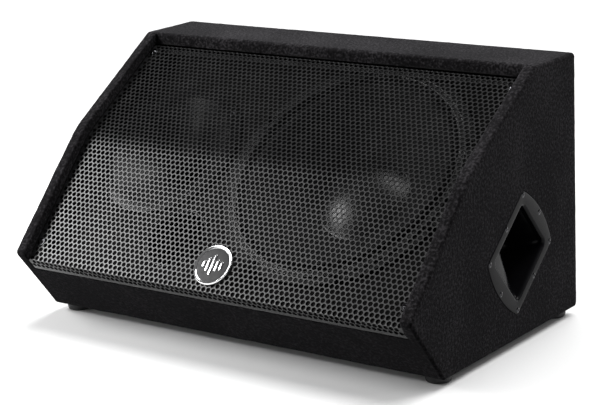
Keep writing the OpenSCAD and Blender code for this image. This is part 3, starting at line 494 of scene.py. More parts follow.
def inside(point, ring):
    x, y = point
    hit = False
    for (x0, y0), (x1, y1) in zip(ring, ring[1:] + ring[:1]):
        if (y0 > y) != (y1 > y) and x < x0 + (y - y0) * (x1 - x0) / (y1 - y0):
            hit = not hit
    return hit


def plane_mesh(boundary, hole, pitch, seed):
    """Triangles filling boundary except hole, with points about pitch apart inside."""
    rng = random.Random(seed)
    ys, zs = [p[0] for p in boundary], [p[1] for p in boundary]
    points = [Vector(p) for p in boundary + hole]
    n, m = len(boundary), len(hole)
    edges = [(i, (i + 1) % n) for i in range(n)] + [(n + i, n + (i + 1) % m) for i in range(m)]
    y = min(ys) + pitch
    while y < max(ys):
        z = min(zs) + pitch
        while z < max(zs):
            p = (y + rng.uniform(-0.25, 0.25) * pitch, z + rng.uniform(-0.25, 0.25) * pitch)
            near = min((Vector(p) - q).length for q in points[:n + m])
            if near > 0.6 * pitch and inside(p, boundary) and not inside(p, hole):
                points.append(Vector(p))
            z += pitch
        y += pitch
    verts, _, faces, sources, *_ = geometry.delaunay_2d_cdt(points, edges, [], 0, 1e-4)
    own = [s[0] for s in sources]
    kept = []
    for f in faces:
        a, b, c = (verts[i] for i in f)
        mid = (a + b + c) / 3
        if (b - a).cross(c - a) > 0.0004 and inside(tuple(mid), boundary) and not inside(tuple(mid), hole):
            kept.append(tuple(own[i] for i in f))
    return [tuple(p) for p in points], kept


noise.seed_set(11)  # otherwise Blender seeds its noise from the clock


def pile(verts, amount, salt):
    """Moves carpet points a little, as felted fibres and glue leave them."""
    out = []
    for v in verts:
        v = Vector(v)
        lumps = noise.noise_vector(v / 9.0 + Vector((salt, 0, 0)))
        slow = noise.noise_vector(v / 45.0 + Vector((0, salt, 0)))
        out.append(tuple(v + lumps * amount + slow * amount * 0.8))
    return out


def side_skin(side):
    """One side's carpet: face, rounded edge, rim over the cut edge and a fold down beside the grille."""
    rows = []

    def row(depth, x_front, x_back, back_depth=None):
        front = outline(depth)
        back = outline(depth if back_depth is None else back_depth)
        rows.append([(x_front, *f[:2]) if is_front(f) else (x_back, *b[:2]) for f, b in zip(front, back)])

    row(FOLD_END, side_in, SEAM_X, CARPET_T)
    row(FOLD_END, FOLD_X, SEAM_X, CARPET_T - 0.4)
    row(FOLD_END / 2, FOLD_X, SEAM_X, CARPET_T / 2)
    row(1.6, FOLD_X, SEAM_X, 0.6)
    row(0.5, FOLD_X + 0.5, SEAM_X, 0.2)
    row(0.0, side_in + 0.8, SEAM_X + 0.6)
    row(0.0, side_in + 6.0, SEAM_X + 1.8)
    for k in range(6):
        a = math.radians(90 * k / 5)
        row(EDGE_R * (1 - math.cos(a)), half_w - EDGE_R + EDGE_R * math.sin(a),
            half_w - EDGE_R + EDGE_R * math.sin(a))
    n = len(rows[0])
    verts = [p for r in rows for p in r]
    faces = [f for k in range(len(rows) - 1) for f in band(k * n, (k + 1) * n, n)]
    place = handle_place(1)
    hole = [(place @ Vector(p)) for p in handle_ring(0.6, CARPET_T)]
    hole = [(p.y, p.z) for p in hole]
    edge = [(p[1], p[2]) for p in rows[-1]]
    flat, tris = plane_mesh(edge, hole, 9.0, 5)
    base = len(verts) - n
    m = len(hole)
    verts += [(half_w, y, z) for y, z in flat[n:]]
    faces += [tuple(base + i for i in f) for f in tris]
    low = len(verts)
    verts += [(side_out, y, z) for y, z in flat]
    faces += [tuple(low + i for i in reversed(f)) for f in tris]
    faces += band(base + n, low + n, m)
    hem = len(verts)
    verts += [(side_out, *s[:2]) for s in outline(CARPET_T)]
    faces += band(low, hem, n) + band(hem, 0, n)
    verts = pile(verts, 0.35, 3.0 * side)
    if side < 0:
        verts = [(-x, y, z) for x, y, z in verts]
    return verts, faces


def recalculated(obj, sharp=60):
    """Turns every face of a closed mesh outward."""
    bm = bmesh.new()
    bm.from_mesh(obj.data)
    bmesh.ops.recalc_face_normals(bm, faces=bm.faces)
    bm.to_mesh(obj.data)
    bm.free()
    obj.data.set_sharp_from_angle(angle=math.radians(sharp))
    return obj


for side, label in ((1, "right"), (-1, "left")):
    skin = recalculated(piece("side_carpet_" + label, side_skin(side), CARPET,
                              replaces=("carpet_" + label,)))


def wrap_shape():
    """The carpet round the lower front, bottom, rear, top and lip, open for the input dish."""
    start = nose + (toe - nose) * (1 - flange_share)
    lip = np.array([top_front[0], FOOT_H + CABINET_H - CARPET_T - PLY_T])
    corners = [start, toe, rear_foot, rear_top, top_front, lip]
    hole_z = (dish_mid.z - DISH_H / 2 - DISH_RIM - 0.4, dish_mid.z + DISH_H / 2 + DISH_RIM + 0.4)
    hole_x = (dish_mid.x - DISH_W / 2 - DISH_RIM - 0.4, dish_mid.x + DISH_W / 2 + DISH_RIM + 0.4)

    def path(depth):
        pts = [start - inward(nose, toe) * depth]
        for i in range(1, 5):
            a, b, c = corners[i - 1], corners[i], corners[i + 1]
            na, nb = -inward(a, b), -inward(b, c)
            here = crossing(b + na * depth, b - a, b + nb * depth, c - b)
            arc = corner_arc(a + na * depth, here, c + nb * depth, max(CORNER_R - depth, 0.4), ARC_STEPS)
            pts += lengths(pts[-1], arc[0], i == 3) + arc
        end = lip + np.array([depth, 0])
        return pts + lengths(pts[-1], end, False) + [end]

    def lengths(a, b, rear):
        count = max(2, round(np.linalg.norm(b - a) / STEP))
        shares = [k / count for k in range(1, count)]
        if rear:
            marks = [(h - a[1]) / (b[1] - a[1]) for h in hole_z]
            shares = sorted([s for s in shares if min(abs(s - m) for m in marks) > 0.012] + marks)
        return [a + (b - a) * s for s in shares]

    outer, inner = path(0), path(CARPET_T)
    n = len(outer)
    section = outer + inner[::-1]
    count = round(2 * SEAM_X / 8.0)
    xs = [-SEAM_X + 2 * SEAM_X * k / count for k in range(count + 1)]
    xs = sorted([x for x in xs if min(abs(x - h) for h in hole_x) > 2.0] + list(hole_x))
    m = len(section)
    verts = [(x, p[0], p[1]) for x in xs for p in section]

    def cut(i, j):
        """Whether the cell at station i and sample j of the outer path is in the dish's opening."""
        mid_x, a, b = (xs[i] + xs[i + 1]) / 2, outer[j], outer[j + 1]
        on_rear = min(a[0], b[0]) > rear_y - 0.01
        return on_rear and hole_x[0] < mid_x < hole_x[1] and hole_z[0] < (a[1] + b[1]) / 2 < hole_z[1]

    faces = []
    for i in range(len(xs) - 1):
        for j in range(m):
            jj = (j + 1) % m
            k = j if j < n - 1 else m - 2 - j
            if j < n - 1 and cut(i, j) or n <= j < m - 1 and cut(i, k):
                continue
            faces.append((i * m + j, i * m + jj, (i + 1) * m + jj, (i + 1) * m + j))
    for i in (0, len(xs) - 1):
        faces += [(i * m + j, i * m + j + 1, i * m + m - 2 - j, i * m + m - 1 - j) for j in range(n - 1)]
    for i in range(len(xs) - 1):
        for j in range(n - 1):
            if not cut(i, j):
                continue
            a, b = i * m + j, (i + 1) * m + j
            a_in, b_in = i * m + m - 1 - j, (i + 1) * m + m - 1 - j
            walls = (((i, j - 1), (a, b, b_in, a_in)), ((i, j + 1), (a + 1, b + 1, b_in - 1, a_in - 1)),
                     ((i - 1, j), (a, a + 1, a_in - 1, a_in)), ((i + 1, j), (b, b + 1, b_in - 1, b_in)))
            faces += [wall for beside, wall in walls if not cut(*beside)]
    length = sum(np.linalg.norm(np.array(b) - a) for a, b in zip(outer, outer[1:]))
    return (pile(verts, 0.35, 7.0), faces), length


wrap, wrap_length = wrap_shape()
wrap_obj = recalculated(piece("wrap_carpet", wrap, CARPET, replaces=("carpet_wrap",)))


# --- grille: a perforated sheet bent along a path, in cells of a staggered lattice ---
HOLE_R = 3.65
PITCH = 8.57
ROW = PITCH * math.sqrt(3) / 2
ROW_SHIFT = 0.64
sheet_points = [flange_end + inward(toe, nose) * FLANGE_LIFT, fold_low, fold_bend, fold_lip,
                fold_lip - np.array([0, GRILLE_RETURN])]
sheet_line = [sheet_points[0]]
for i, r, steps in ((1, 2.5, 10), (2, BEND_R - GRILLE_RECESS, 60), (3, 2.5, 10)):
    sheet_line += corner_arc(sheet_points[i - 1], sheet_points[i], sheet_points[i + 1], r, steps)
sheet_line.append(sheet_points[4])
sheet_line = np.array(sheet_line)
sheet_s = np.concatenate([[0], np.cumsum(np.linalg.norm(np.diff(sheet_line, axis=0), axis=1))])
turns = np.arctan2(*np.diff(sheet_line, axis=0).T[::-1])
turn_s = (sheet_s[:-1] + sheet_s[1:]) / 2
SHEET_L = sheet_s[-1]
fold_s = sheet_s[np.argmin(np.linalg.norm(sheet_line - fold_low, axis=1))]
bend_s = sheet_s[np.argmin(np.linalg.norm(sheet_line - fold_bend, axis=1))]
grille_half = side_in - GRILLE_GAP


def on_sheet(x, s, depth):
    """The point at x across and s along the grille's path, depth behind its face."""
    y, z = np.interp(s, sheet_s, sheet_line[:, 0]), np.interp(s, sheet_s, sheet_line[:, 1])
    a = np.interp(s, turn_s, turns)
    return (x, y + math.sin(a) * depth, z - math.cos(a) * depth)


def grille_part(row_from, row_to):
    """Rows of cells row_from to row_to, clamped at the sheet's edges, as one closed sheet with holes."""
    corner = PITCH / math.sqrt(3)
    hex_points = [(corner * math.cos(math.radians(30 + 60 * k)), corner * math.sin(math.radians(30 + 60 * k)))
                  for k in range(6)]
    rim = []
    for k in range(6):
        a, b = hex_points[k], hex_points[(k + 1) % 6]
        rim += [a, ((a[0] + b[0]) / 2, (a[1] + b[1]) / 2)]
    index, flat, faces, border = {}, [], [], {}

    def vertex(x, s):
        key = (round(x, 2), round(s, 2))
        if key not in index:
            index[key] = len(flat)
            flat.append(key)
        return index[key]

    columns = int(grille_half / PITCH) + 2
    holes = []
    for r in range(row_from, row_to):
        s = fold_s + (r + ROW_SHIFT) * ROW
        for c in range(-columns, columns + 1):
            x = (c + (0.5 if r % 2 else 0)) * PITCH
            outer = [(min(max(x + px, -grille_half), grille_half), min(max(s + ps, 0.0), SHEET_L))
                     for px, ps in rim]
            ids = [vertex(*p) for p in outer]
            ring = [i for k, i in enumerate(ids) if i != ids[k - 1]]
            if len(set(ring)) < 3:
                continue
            spread = np.ptp([flat[i] for i in ring], axis=0)
            if min(spread) < 0.01:
                continue
            room = HOLE_R + 0.5
            if abs(x) < grille_half - room and room < s < SHEET_L - room:
                first = len(flat)
                for k in range(12):
                    a = math.radians(30 + 30 * k)
                    flat.append((x + HOLE_R * math.cos(a), s + HOLE_R * math.sin(a)))
                inner = list(range(first, first + 12))
                steps = [(ids[k], ids[(k + 1) % 12], inner[(k + 1) % 12], inner[k]) for k in range(12)]
                faces += [step for step in steps if step[0] != step[1]]
                faces += [(step[0], *step[2:]) for step in steps if step[0] == step[1]]
                holes.append(inner)
            else:
                faces.append(tuple(ring))
            for a, b in zip(ring, ring[1:] + ring[:1]):
                if (b, a) in border:
                    del border[(b, a)]
                else:
                    border[(a, b)] = True
    count = len(flat)
    verts = [on_sheet(x, s, 0.0) for x, s in flat] + [on_sheet(x, s, GRILLE_T) for x, s in flat]
    solid = list(faces) + [tuple(i + count for i in reversed(f)) for f in faces]
    for inner in holes:
        solid += [(a, b, b + count, a + count) for a, b in zip(inner, inner[1:] + inner[:1])]
    solid += [(b, a, a + count, b + count) for a, b in border]
    return verts, solid


split_row = round((bend_s - fold_s) / ROW)
rows_low = -math.ceil(fold_s / ROW) - 1
rows_high = math.ceil((SHEET_L - fold_s) / ROW) + 1
for label, rows in (("lower", (rows_low, split_row)), ("upper", (split_row, rows_high))):
    recalculated(piece("grille_sheet_" + label, grille_part(*rows), GRILLE,
                       replaces=("grille",)))


# --- screw heads with a cross recess ---
def screw(r, h, shaft_r, shaft_l, recess=0.55, sides=32):
    """A domed screw standing on local z 0 with its shaft below."""
    steps = [0.06, 0.14, 0.22, 0.3, 0.38, 0.46, 0.54, 0.62, 0.7, 0.8, 0.9, 0.97, 1.0]
    arm_w, arm_l, deep = 0.14 * r, 0.52 * r, recess * h
    rings = []
    for share in steps:
        ring = []
        for x, y, _ in circle(r * share, 0, sides):
            z = h * (1 - 0.88 * share ** 2)
            in_arm = abs(x) < arm_w and abs(y) < arm_l or abs(y) < arm_w and abs(x) < arm_l
            ring.append((x, y, z - deep if in_arm else z))
        rings.append(ring)
    rings += [circle(r, 0, sides), circle(shaft_r, 0, sides), circle(shaft_r, -shaft_l, sides)]
    return loft(rings)


def spread(shape, places):
    return joined([moved(shape, p) for p in places])


def offsets(place, spots, z=0.0):
    return [place @ Matrix.Translation((x, y, z)) @ Matrix.Rotation(0.7 * i, 4, "Z")
            for i, (x, y) in enumerate(spots)]


SCREW_FROM_EDGE, SCREW_FROM_FOLD = 9.0, 30.0
grille_spots = [grille_face_place(a, b, along, side * (side_in - SCREW_FROM_EDGE))
                for side in (-1, 1) for a, b, along in (
                    (nose, bend, SCREW_FROM_FOLD),
                    (bend, top_front, np.linalg.norm(top_front - bend) - SCREW_FROM_FOLD))]
washer = turned([(6.3, 0.0), (6.3, 0.5), (5.9, 0.8), (4.4, 0.8)], 32)
grille_screw = joined([washer, moved(screw(4.6, 2.1, 2.0, 16.0), Matrix.Translation((0, 0, 0.8)))])
piece("grille_fixings", spread(grille_screw, grille_spots), DARK_SCREW,
      replaces=("grille_screws",))

# --- badge: a bright rim, an enamelled face and five raised level bars ---
rim_r = BADGE_D / 2
rim = [(rim_r - BADGE_RING_W, 0.0), (rim_r, 0.0), (rim_r, BADGE_H - 1.6), (rim_r - 0.5, BADGE_H - 0.6),
       (rim_r - 1.4, BADGE_H), (rim_r - 2.4, BADGE_H - 0.1), (rim_r - 3.4, BADGE_H - 0.6),
       (rim_r - BADGE_RING_W, BADGE_H - 1.5)]
piece("badge_rim", moved(turned(rim, 128, True), badge_place), CHROME,
      replaces=("badge_ring",))
face_r = rim_r - BADGE_RING_W
face_top = BADGE_H - 1.8
disc_face = [(face_r, 0.0), (face_r, face_top)] + [(face_r * math.cos(a), face_top + 0.6 * math.sin(a))
                                                     for a in np.radians(range(10, 91, 10))]
piece("badge_plate", moved(turned(disc_face, 96), badge_place), BADGE,
      replaces=("badge_face",))
bars = [moved(slab(2.0, h, 0, 1.5, 1.7, 0.5), badge_place @ Matrix.Translation((x, 0, face_top)))
        for x, h in ((-15.0, 5.0), (-7.5, 11.0), (0.0, 16.0), (7.5, 9.0), (15.0, 6.5))]
piece("badge_level_bars", joined(bars), CHROME)


# --- feet ---
foot_lo, foot_hi = box_mm("feet")
FOOT_R = 19.0
foot_spots = [Matrix.Translation((x, y, 0)) for x in (foot_lo.x + FOOT_R, foot_hi.x - FOOT_R)
              for y in (foot_lo.y + FOOT_R, foot_hi.y - FOOT_R)]
foot = turned([(4.2, 11.9), (5.5, 6.0), (5.5, 1.5), (6.2, 0.3), (8.0, 0.0), (FOOT_R - 4.5, 0.0),
               (FOOT_R - 2.6, 0.5), (FOOT_R - 1.4, 1.8), (FOOT_R - 0.6, 5.0), (FOOT_R, FOOT_H - 1.4),
               (FOOT_R - 0.3, FOOT_H - 0.5), (FOOT_R - 1.2, FOOT_H)], 64, True)
piece("rubber_feet", spread(foot, foot_spots), RUBBER, replaces=("feet",))
flip = Matrix.Translation((0, 0, 6.0)) @ Matrix.Rotation(math.pi, 4, "X")
piece("foot_fixings", spread(screw(4.4, 2.4, 2.1, 20.0), [p @ flip for p in foot_spots]), SCREW,
      replaces=("foot_screws",))


# --- recessed handles ---
def cup_ring(low_x, high_x, half_y, r, z):
    return round_rect(low_x, high_x, half_y, r, z, 6, 12)


SCOOP, SCOOP_LEAST = 30.0, 4.0
HANDLE_ROLL, HANDLE_WALL = 4.5, 2.0


def scooped(ring, reach):
    """The ring with its lower end drawn in, by SCOOP on the grip's side and SCOOP_LEAST on the other."""
    gx, gy = GRIP_W / 2, GRIP_L / 2
    out = []
    for x, y, z in ring:
        side = min(1.0, max(0.0, (gx - x) / (2 * gx)))
        run = SCOOP_LEAST + (SCOOP - SCOOP_LEAST) * side
        out.append((x, y + run * reach * min(1.0, max(0.0, -y / gy)), z))
    return out


def handle_shape():
    """A bow-ended flange rolling over into a deep pocket that is undercut behind the grip."""
    gx, gy = GRIP_W / 2, GRIP_L / 2
    # How far each ring is scooped: not at all round the flange and the roll, nor outside
    reaches = [0.0] * 12 + [0.25, 0.5, 0.75, 0.94] + [1.0] * 10 + [0.0, 0.0]
    rings = [handle_ring(0, 0.0), handle_ring(0, 2.0), handle_ring(-0.25, 2.6), handle_ring(-0.8, 2.93),
             handle_ring(-1.5, HANDLE_T)]
    for k in range(7):
        a = math.radians(90 * k / 6)
        roll = HANDLE_ROLL * (1 - math.sin(a))
        rings.append(cup_ring(-gx - roll, gx + roll, gy + roll, 7.0 + roll,
                              HANDLE_T - HANDLE_ROLL * (1 - math.cos(a))))
    for z in (-2.6, -3.7, -4.8, -5.8):
        rings.append(cup_ring(-gx - 0.1 * UNDERCUT, gx, gy - 0.3, 7.0, z))
    rings.append(cup_ring(-gx - 0.5 * UNDERCUT, gx, gy - 1.2, 7.0, -7.2))
    rings.append(cup_ring(-gx - UNDERCUT + 1, gx, gy - 2.2, 8.0, -9.5))
    for share in (0.3, 0.5, 0.7, 0.85, 0.94, 0.985, 1.0):
        ease = max(0.0, share - 0.85) / 0.15
        tuck = 5.0 * (1 - math.sqrt(max(0.0, 1 - ease * ease)))
        rings.append(cup_ring(-gx - UNDERCUT + 1 + tuck, gx - tuck, gy - RAMP * share - tuck,
                              9.0 - tuck * 0.6, -POCKET_DEPTH * share))
    for half_y, z in ((gy - RAMP, -POCKET_DEPTH - HANDLE_WALL), (gy, -3.0), (gy, 0.0)):
        rings.append(cup_ring(-gx - UNDERCUT - 0.8, gx + HANDLE_WALL, half_y + HANDLE_WALL, 9.0, z))
    return [scooped(ring, reach) for ring, reach in zip(rings, reaches)]


def closed_cup(rings):
    """A solid cup through rings that go down its inside to the floor, then up its outside in three."""
    n = len(rings[0])
    floor = len(rings) - 4
    verts = [p for r in rings for p in r]
    faces = [f for k in range(len(rings) - 1) if k != floor for f in band(k * n, (k + 1) * n, n)]
    faces += band((len(rings) - 1) * n, 0, n)
    faces.append(tuple(floor * n + j for j in range(n)))
    faces.append(tuple((floor + 1) * n + j for j in reversed(range(n))))
    return verts, faces


cup = closed_cup(handle_shape())
across_x = HANDLE_W / 2 - 4.5
along_y = HANDLE_L / 2 + HANDLE_BOW - 6
handle_spots = ([(x * across_x, y * (HANDLE_L / 2 - 5)) for x in (-1, 1) for y in (-1, 1)]
                + [(-across_x, 0), (across_x, 0), (0, along_y), (0, -along_y)])
handle_screw = screw(4.0, 1.2, 2.0, 12.0)
for side, label in ((1, "right"), (-1, "left")):
    recalculated(piece("handle_cup_" + label, moved(cup, handle_place(side)), PLASTIC,
                       replaces=("handle_" + label,)))
    spots = offsets(handle_place(side), handle_spots, HANDLE_T - 0.05)
    piece("handle_fixings_" + label, spread(handle_screw, spots), DARK_SCREW,
          replaces=("handle_screws_" + label,))


# --- horn ---
def flare(k, grow=0.0):
    """The flare's ring at step k of FLARE_STEPS from the throat to the mouth, grown by grow."""
    share = k / FLARE_STEPS
    return circle(THROAT_R + (MOUTH_R - THROAT_R) * share ** 1.9 + grow,
                  -HORN_DEPTH + share * (HORN_DEPTH + HORN_FLANGE_T), 96)


horn_lo, horn_hi = box_mm("horn")
HORN_R = (horn_hi.x - horn_lo.x) / 2
FLARE_STEPS = 32
horn_rings = [circle(HORN_R, 0, 96), circle(HORN_R, 3.6, 96), circle(HORN_R - 0.5, 4.6, 96),
              circle(HORN_R - 1.6, HORN_FLANGE_T, 96)]
horn_rings += [flare(k) for k in range(FLARE_STEPS, -1, -1)]
horn_rings += [circle(48.0, -HORN_DEPTH, 96), circle(48.0, 6 - HORN_DEPTH, 96)]
horn_rings += [flare(k, HORN_WALL) for k in range(16, 30, 2)] + [circle(MOUTH_R - 2, 0.0, 96)]
recalculated(piece("horn_flare", moved(loft(horn_rings, loop=True), horn_place), HORN_ABS,
                   replaces=("horn",)), 22)
HORN_SCREW_RING = HORN_R - 10
ring_45, ring_0 = ([(r * math.cos(math.radians(a)), r * math.sin(math.radians(a)))
                    for a in range(first, 360, 90)] for r, first in ((HORN_SCREW_RING, 45), (38.0, 0)))
horn_fix = joined([spread(screw(4.6, 2.0, 2.1, 17.0), offsets(horn_place, ring_45, HORN_FLANGE_T)),
                   spread(screw(5.0, 3.6, 3.0, 12.0), offsets(horn_place, ring_0, 6 - HORN_DEPTH))])
piece("horn_fixings", horn_fix, DARK_SCREW, replaces=("horn_screws",))

# --- port: a flared tube ---
PORT_R, PORT_WALL, PORT_LEN = 45.0, 2.5, 62.0
port_section = [(PORT_R, -PORT_LEN), (PORT_R + PORT_WALL, -PORT_LEN), (PORT_R + PORT_WALL, 0),
                (PORT_R + 6, 0), (PORT_R + 6, 1.6), (PORT_R + 5.4, 2.5), (PORT_R + 4.2, 2.95)]
port_section += [(PORT_R + 3.6 * (1 - math.sin(a)), 2.95 - 3.6 * (1 - math.cos(a)))
                 for a in np.radians(range(10, 91, 16))]
piece("port_flare", moved(turned(port_section, 128, True), port_place), HORN_ABS,
      replaces=("port_tube",))

# --- cone driver: cone, dust cap, and the two rings that stretch as the cone moves ---
COIL_R, FORMER_T = 49.3, 0.5
CUTOUT_R = 192.0 - 15.5
SURROUND_OUT = CUTOUT_R - 5.5
CONE_R = SURROUND_OUT - 13
FLANGE_T, SKIN_T, BOWL = 6.0, 0.8, 97.0
FORMER_OUT = COIL_R + FORMER_T + 0.4
LANDING_Z, LANDING_R = -BOWL + 17, COIL_R + 58.7
NECK_Z = LANDING_Z + 4.5
CONE_FRONT = FLANGE_T + 0.5
CAP_R, CAP_H, CAP_LIP = FORMER_OUT + 20, 21.5, 7.0
cone_out = CONE_R - CAP_LIP
rise = CONE_FRONT - NECK_Z


def cone_z(r):
    """The cone's front face, slightly curved as pressed, with shallow stiffening rings."""
    share = (r - FORMER_OUT) / (cone_out - FORMER_OUT)
    ribs = sum(math.exp(-((r - c) / 1.6) ** 2) for c in (96.0, 118.0, 140.0))
    return NECK_Z + rise * share - 2.2 * math.sin(math.pi * share) + 0.9 * ribs


radii = np.linspace(cone_out, FORMER_OUT, 60)
cone_section = ([(CONE_R, CONE_FRONT - 1.3), (CONE_R, CONE_FRONT - 0.1), (cone_out + 1.5, CONE_FRONT)]
                + [(r, cone_z(r)) for r in radii] + [(FORMER_OUT, NECK_Z - 5), (FORMER_OUT + 1.5, NECK_Z - 5)]
                + [(r + 0.8, cone_z(r) - 1.4) for r in radii[::-1]])
piece("driver_cone", moved(turned(cone_section, 144, True), woofer_place), PAPER, "cone_assembly", 50,
      ("woofer_cone",))
cap_z = cone_z(CAP_R)
ball = (CAP_R ** 2 + CAP_H ** 2) / (2 * CAP_H)
cap_half = math.asin(CAP_R / ball)
cap_mid = cap_z + CAP_H - ball
cap_out, cap_in = ([(r * math.sin(cap_half * k / 24), cap_mid + r * math.cos(cap_half * k / 24))
                    for k in range(25)] for r in (ball, ball - 1))
cap_section = cap_out + [(CAP_R + 1.6, cap_z + 0.2), (CAP_R + 1.2, cap_z - 0.6)] + cap_in[::-1]
piece("driver_dust_cap", moved(turned(cap_section, 128), woofer_place), CAP, "cone_assembly", 50,
      ("dust_cap",))

gasket_in, gasket_out = SURROUND_OUT + 0.2, SURROUND_OUT + 9.8
GASKET_Z, GASKET_T = FLANGE_T + SKIN_T, 2.0
BEAD_R = 1.1
gasket_section = [(gasket_in, GASKET_Z), (gasket_out, GASKET_Z)]
for mid in (gasket_out - BEAD_R, gasket_in + BEAD_R):
    gasket_section += [(mid + BEAD_R * math.cos(a), GASKET_Z + GASKET_T - BEAD_R + BEAD_R * math.sin(a))
                       for a in np.radians(range(0, 181, 20))]
piece("driver_gasket", moved(turned(gasket_section, 144, True), woofer_place), GASKET, sharp=60,
      replaces=("woofer_gasket",))


def waves(r_in, r0, r1, r_out, z, thick, count, height, per_wave=12):
    """The closed section of a thin ring whose middle is a row of waves."""
    total = per_wave * count
    top = [(r_in, z + thick)]
    top += [(r0 + (r1 - r0) * k / total, z + thick + height * math.sin(2 * math.pi * count * k / total))
            for k in range(total + 1)]
    top.append((r_out, z + thick))
    return top + [(r, h - thick) for r, h in reversed(top)]


def stretch_ring(name, section, place, mat, node, sectors=24):
    """A soft ring between two bodies, in sectors, each made as its own piece and baked in place."""
    each = 4
    for s in range(sectors):
        angles = [2 * math.pi * (s + k / each) / sectors for k in range(each + 1)]
        rings = [[(r * math.cos(a), r * math.sin(a), z) for r, z in section] for a in angles]
        label = f"{name}_{s + 1:02d}"
        obj = piece(label, moved(loft(rings), place), mat, None, 60, (node,))
        recalculated(obj)
        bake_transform(obj)


surround = waves(CONE_R - 0.4, CONE_R + 1, SURROUND_OUT - 0.8, SURROUND_OUT + 9.5, FLANGE_T, SKIN_T, 2, 2.6)
stretch_ring("driver_surround", surround, woofer_place, CLOTH, "woofer_surround")
spider = waves(FORMER_OUT + 0.2, FORMER_OUT + 4, LANDING_R - 17, LANDING_R - 2, LANDING_Z, 0.8, 5, 2.0)
stretch_ring("driver_spider", spider, woofer_place, GOLD_CLOTH, "woofer_spider",
             12)
HF_BACK, HF_GAP_R, HF_R = -131.0, 22.9, 60.0
hf_edge = waves(HF_GAP_R, HF_GAP_R + 2, HF_R - 27, HF_R - 20, HF_BACK - 0.8, 0.5, 2, 0.2)
stretch_ring("hf_edge", hf_edge, horn_place, GOLD_CLOTH, "hf_suspension",
             12)


# --- input dish and its sockets, on the rear ---
DISH_ROLL, DISH_COVE = 3.0, 4.0


def dish_rings():
    """The dish's rim, its rolled edge, its coved floor and its outside."""
    def ring(grow, r, z):
        return round_rect(-DISH_W / 2 - grow, DISH_W / 2 + grow, DISH_H / 2 + grow, r, z)

    angles = [math.radians(90 * k / 5) for k in range(6)]
    rings = [ring(DISH_RIM, 3.0, 0.0), ring(DISH_RIM, 3.0, 1.4), ring(DISH_RIM - 0.6, 2.6, SHEET_T)]
    for a in angles:
        roll = DISH_ROLL * (1 - math.sin(a))
        rings.append(ring(roll, 9 + roll, SHEET_T - DISH_ROLL * (1 - math.cos(a))))
    for a in angles:
        tuck = DISH_COVE * (1 - math.cos(a))
        rings.append(ring(-tuck, 9 - tuck * 0.5, DISH_COVE - DISH_DEPTH - DISH_COVE * math.sin(a)))
    return rings + [ring(-DISH_COVE, 7, -DISH_DEPTH - SHEET_T), ring(SHEET_T, 9, 2 - DISH_DEPTH),
                    ring(SHEET_T, 9, 0.0)]


recalculated(piece("input_pan", moved(closed_cup(dish_rings()), dish_place), DISH,
                   replaces=("input_dish",)))
dish_spots = [(x * (DISH_W / 2 + DISH_RIM - 6), y * (DISH_H / 2 + DISH_RIM - 6))
              for x in (-1, 1) for y in (-1, 1)]
dish_screws = spread(screw(3.2, 1.4, 1.8, 12.0), offsets(dish_place, dish_spots, SHEET_T - 0.9))
piece("input_pan_fixings", dish_screws, SCREW, replaces=("input_dish_screws",))


def socket_place(i):
    """The middle of the socket i pitches to the right of the dish's middle, on its floor."""
    return dish_place @ Matrix.Translation((i * SOCKET_PITCH, 0, -DISH_DEPTH))


def socket_plate(hole_r):
    """A chassis socket's square flange with a round opening."""
    outer = [round_rect(-h, h, v, r, z, 6, 6) for h, v, r, z in (
        (13.0, 15.5, 3.0, 0.0), (13.0, 15.5, 3.0, 1.9), (12.4, 14.9, 2.6, 2.5))]
    count = len(outer[0])
    angles = [math.atan2(y, x) for x, y, _ in outer[0]]
    holes = [[(hole_r * math.cos(a), hole_r * math.sin(a), z) for a in angles] for z in (2.5, 0.0)]
    return loft(outer + holes, loop=True)


collar = turned([(9.6, 0.1), (11.8, 0.1), (11.8, 3.6), (11.3, 4.3), (10.2, 4.5), (9.6, 4.0)], 64, True)
key = turned([(5.4, -20.0), (5.4, -1.2), (4.6, 0.0), (2.2, 0.0), (2.2, -14.0), (1.8, -14.5)], 48)
core = turned([(9.6, -20.0), (9.6, 0.6), (10.2, 1.4), (11.2, 1.6), (11.8, 1.0), (11.8, -SOCKET_DEPTH),
               (9.4, -SOCKET_DEPTH)], 64, True)
jack = turned([(3.2, -22.0), (3.2, 5.4), (3.8, 6.0), (6.2, 6.0), (6.8, 5.2), (6.8, 2.4), (9.2, 2.4),
               (9.2, 0.2), (11.6, 0.2), (11.6, -SOCKET_DEPTH), (4.0, -SOCKET_DEPTH)], 48, True)
for label, shape, spots, hole_r, mat, slot in (
        ("speaker", joined([collar, key, core]), (-1.5, -0.5), 11.9, BLUE, "socket_blue"),
        ("jack", jack, (0.5, 1.5), 9.3, BLACK_ABS, "socket_black")):
    places = [socket_place(i) for i in spots]
    recalculated(piece(label + "_outlets", spread(shape, places), mat,
                       replaces=(label + "_sockets",)))
    recalculated(piece(label + "_outlets_plates", spread(socket_plate(hole_r), places), BLACK_ABS))
trims = [socket_place(i) @ Matrix.Translation((s * 9.5, s * 12.2, 2.5))
         for i in (-1.5, -0.5, 0.5, 1.5) for s in (-1, 1)]
piece("socket_fixings", spread(screw(1.7, 0.8, 1.2, 4.0), trims), DARK_SCREW)

# --- floor, light and camera ---
FLOOR = finish("floor_white", (0.86, 0.86, 0.86), 0.9, 0.01, 5.0, 0.0, 400, 0.02, specular=0.1)
FLOOR_HALF = 14.0
floor_mesh = bpy.data.meshes.new("floor")
floor_mesh.from_pydata([(x * FLOOR_HALF, y * FLOOR_HALF, 0) for x, y in ((-1, -1), (1, -1), (1, 1), (-1, 1))],
                       [], [(0, 1, 2, 3)])
floor_mesh.materials.append(FLOOR)
floor_obj = bpy.data.objects.new("floor", floor_mesh)
bpy.context.scene.collection.objects.link(floor_obj)
floor_obj.visible_diffuse = False  # the floor throws no light back, so the carpet stays dark

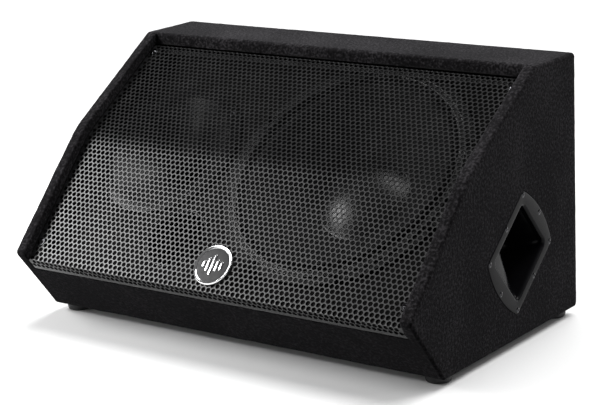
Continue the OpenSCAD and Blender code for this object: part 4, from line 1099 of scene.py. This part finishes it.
scene = bpy.context.scene
scene.view_settings.view_transform = "Standard"
world = bpy.data.worlds.new("studio")
scene.world = world
world.use_nodes = True
WORLD_STRENGTH = 0.14
background = world.node_tree.nodes["Background"]
background.inputs["Color"].default_value = (1, 1, 1, 1)
background.inputs["Strength"].default_value = WORLD_STRENGTH


def area_light(name, place, target, width, height, power):
    """A soft light of width by height metres and power watts."""
    data = bpy.data.lights.new(name, "AREA")
    data.shape = "RECTANGLE"
    data.size, data.size_y, data.energy = width, height, power
    obj = bpy.data.objects.new(name, data)
    obj.location = place
    obj.rotation_euler = (Vector(target) - Vector(place)).to_track_quat("-Z", "Y").to_euler()
    scene.collection.objects.link(obj)


SUN_STRENGTH, SUN_SPREAD, SUN_WAY = 3.9, math.radians(55), Vector((-0.12, -0.52, -1.0))
sun_data = bpy.data.lights.new("ceiling_bounce", "SUN")
sun_data.energy, sun_data.angle = SUN_STRENGTH, SUN_SPREAD
sun = bpy.data.objects.new("ceiling_bounce", sun_data)
sun.rotation_euler = SUN_WAY.to_track_quat("-Z", "Y").to_euler()
scene.collection.objects.link(sun)
area_light("key_softbox", (-1.7, -1.0, 1.3), (-0.2, -0.15, 0.18), 1.2, 0.75, 52)
area_light("front_softbox", (-1.66, -1.7, 0.58), (-0.21, -0.1, 0.2), 0.36, 0.36, 9)
area_light("side_strip", (2.1, 0.7, 1.25), (0.35, 0.03, 0.2), 0.06, 0.8, 5)
area_light("rear_kicker", (0.95, 1.05, 0.12), (0.35, 0.03, 0.16), 0.04, 0.2, 0.5)

CAMERA_PLACE = Vector((1.6413, -2.1564, 0.8986))
YAW, PITCH, ROLL = math.radians(36.99), math.radians(14.91), math.radians(-2.61)
FOCAL_PX, WIDTH_PX, SENSOR = 1924.8, 600, 36.0
# The camera's axes: level ones from yaw and pitch, then rolled
look = Vector((-math.sin(YAW) * math.cos(PITCH), math.cos(YAW) * math.cos(PITCH), -math.sin(PITCH)))
right = Vector((math.cos(YAW), math.sin(YAW), 0))
up = right.cross(look)
right, up = right * math.cos(ROLL) + up * math.sin(ROLL), up * math.cos(ROLL) - right * math.sin(ROLL)
camera_data = bpy.data.cameras.new("camera")
camera_data.sensor_width = SENSOR
camera_data.lens = FOCAL_PX * SENSOR / WIDTH_PX
camera = bpy.data.objects.new("camera", camera_data)
turn = Matrix((right, up, -look)).transposed().to_4x4()
camera.matrix_world = Matrix.Translation(CAMERA_PLACE) @ turn
scene.collection.objects.link(camera)
scene.camera = camera
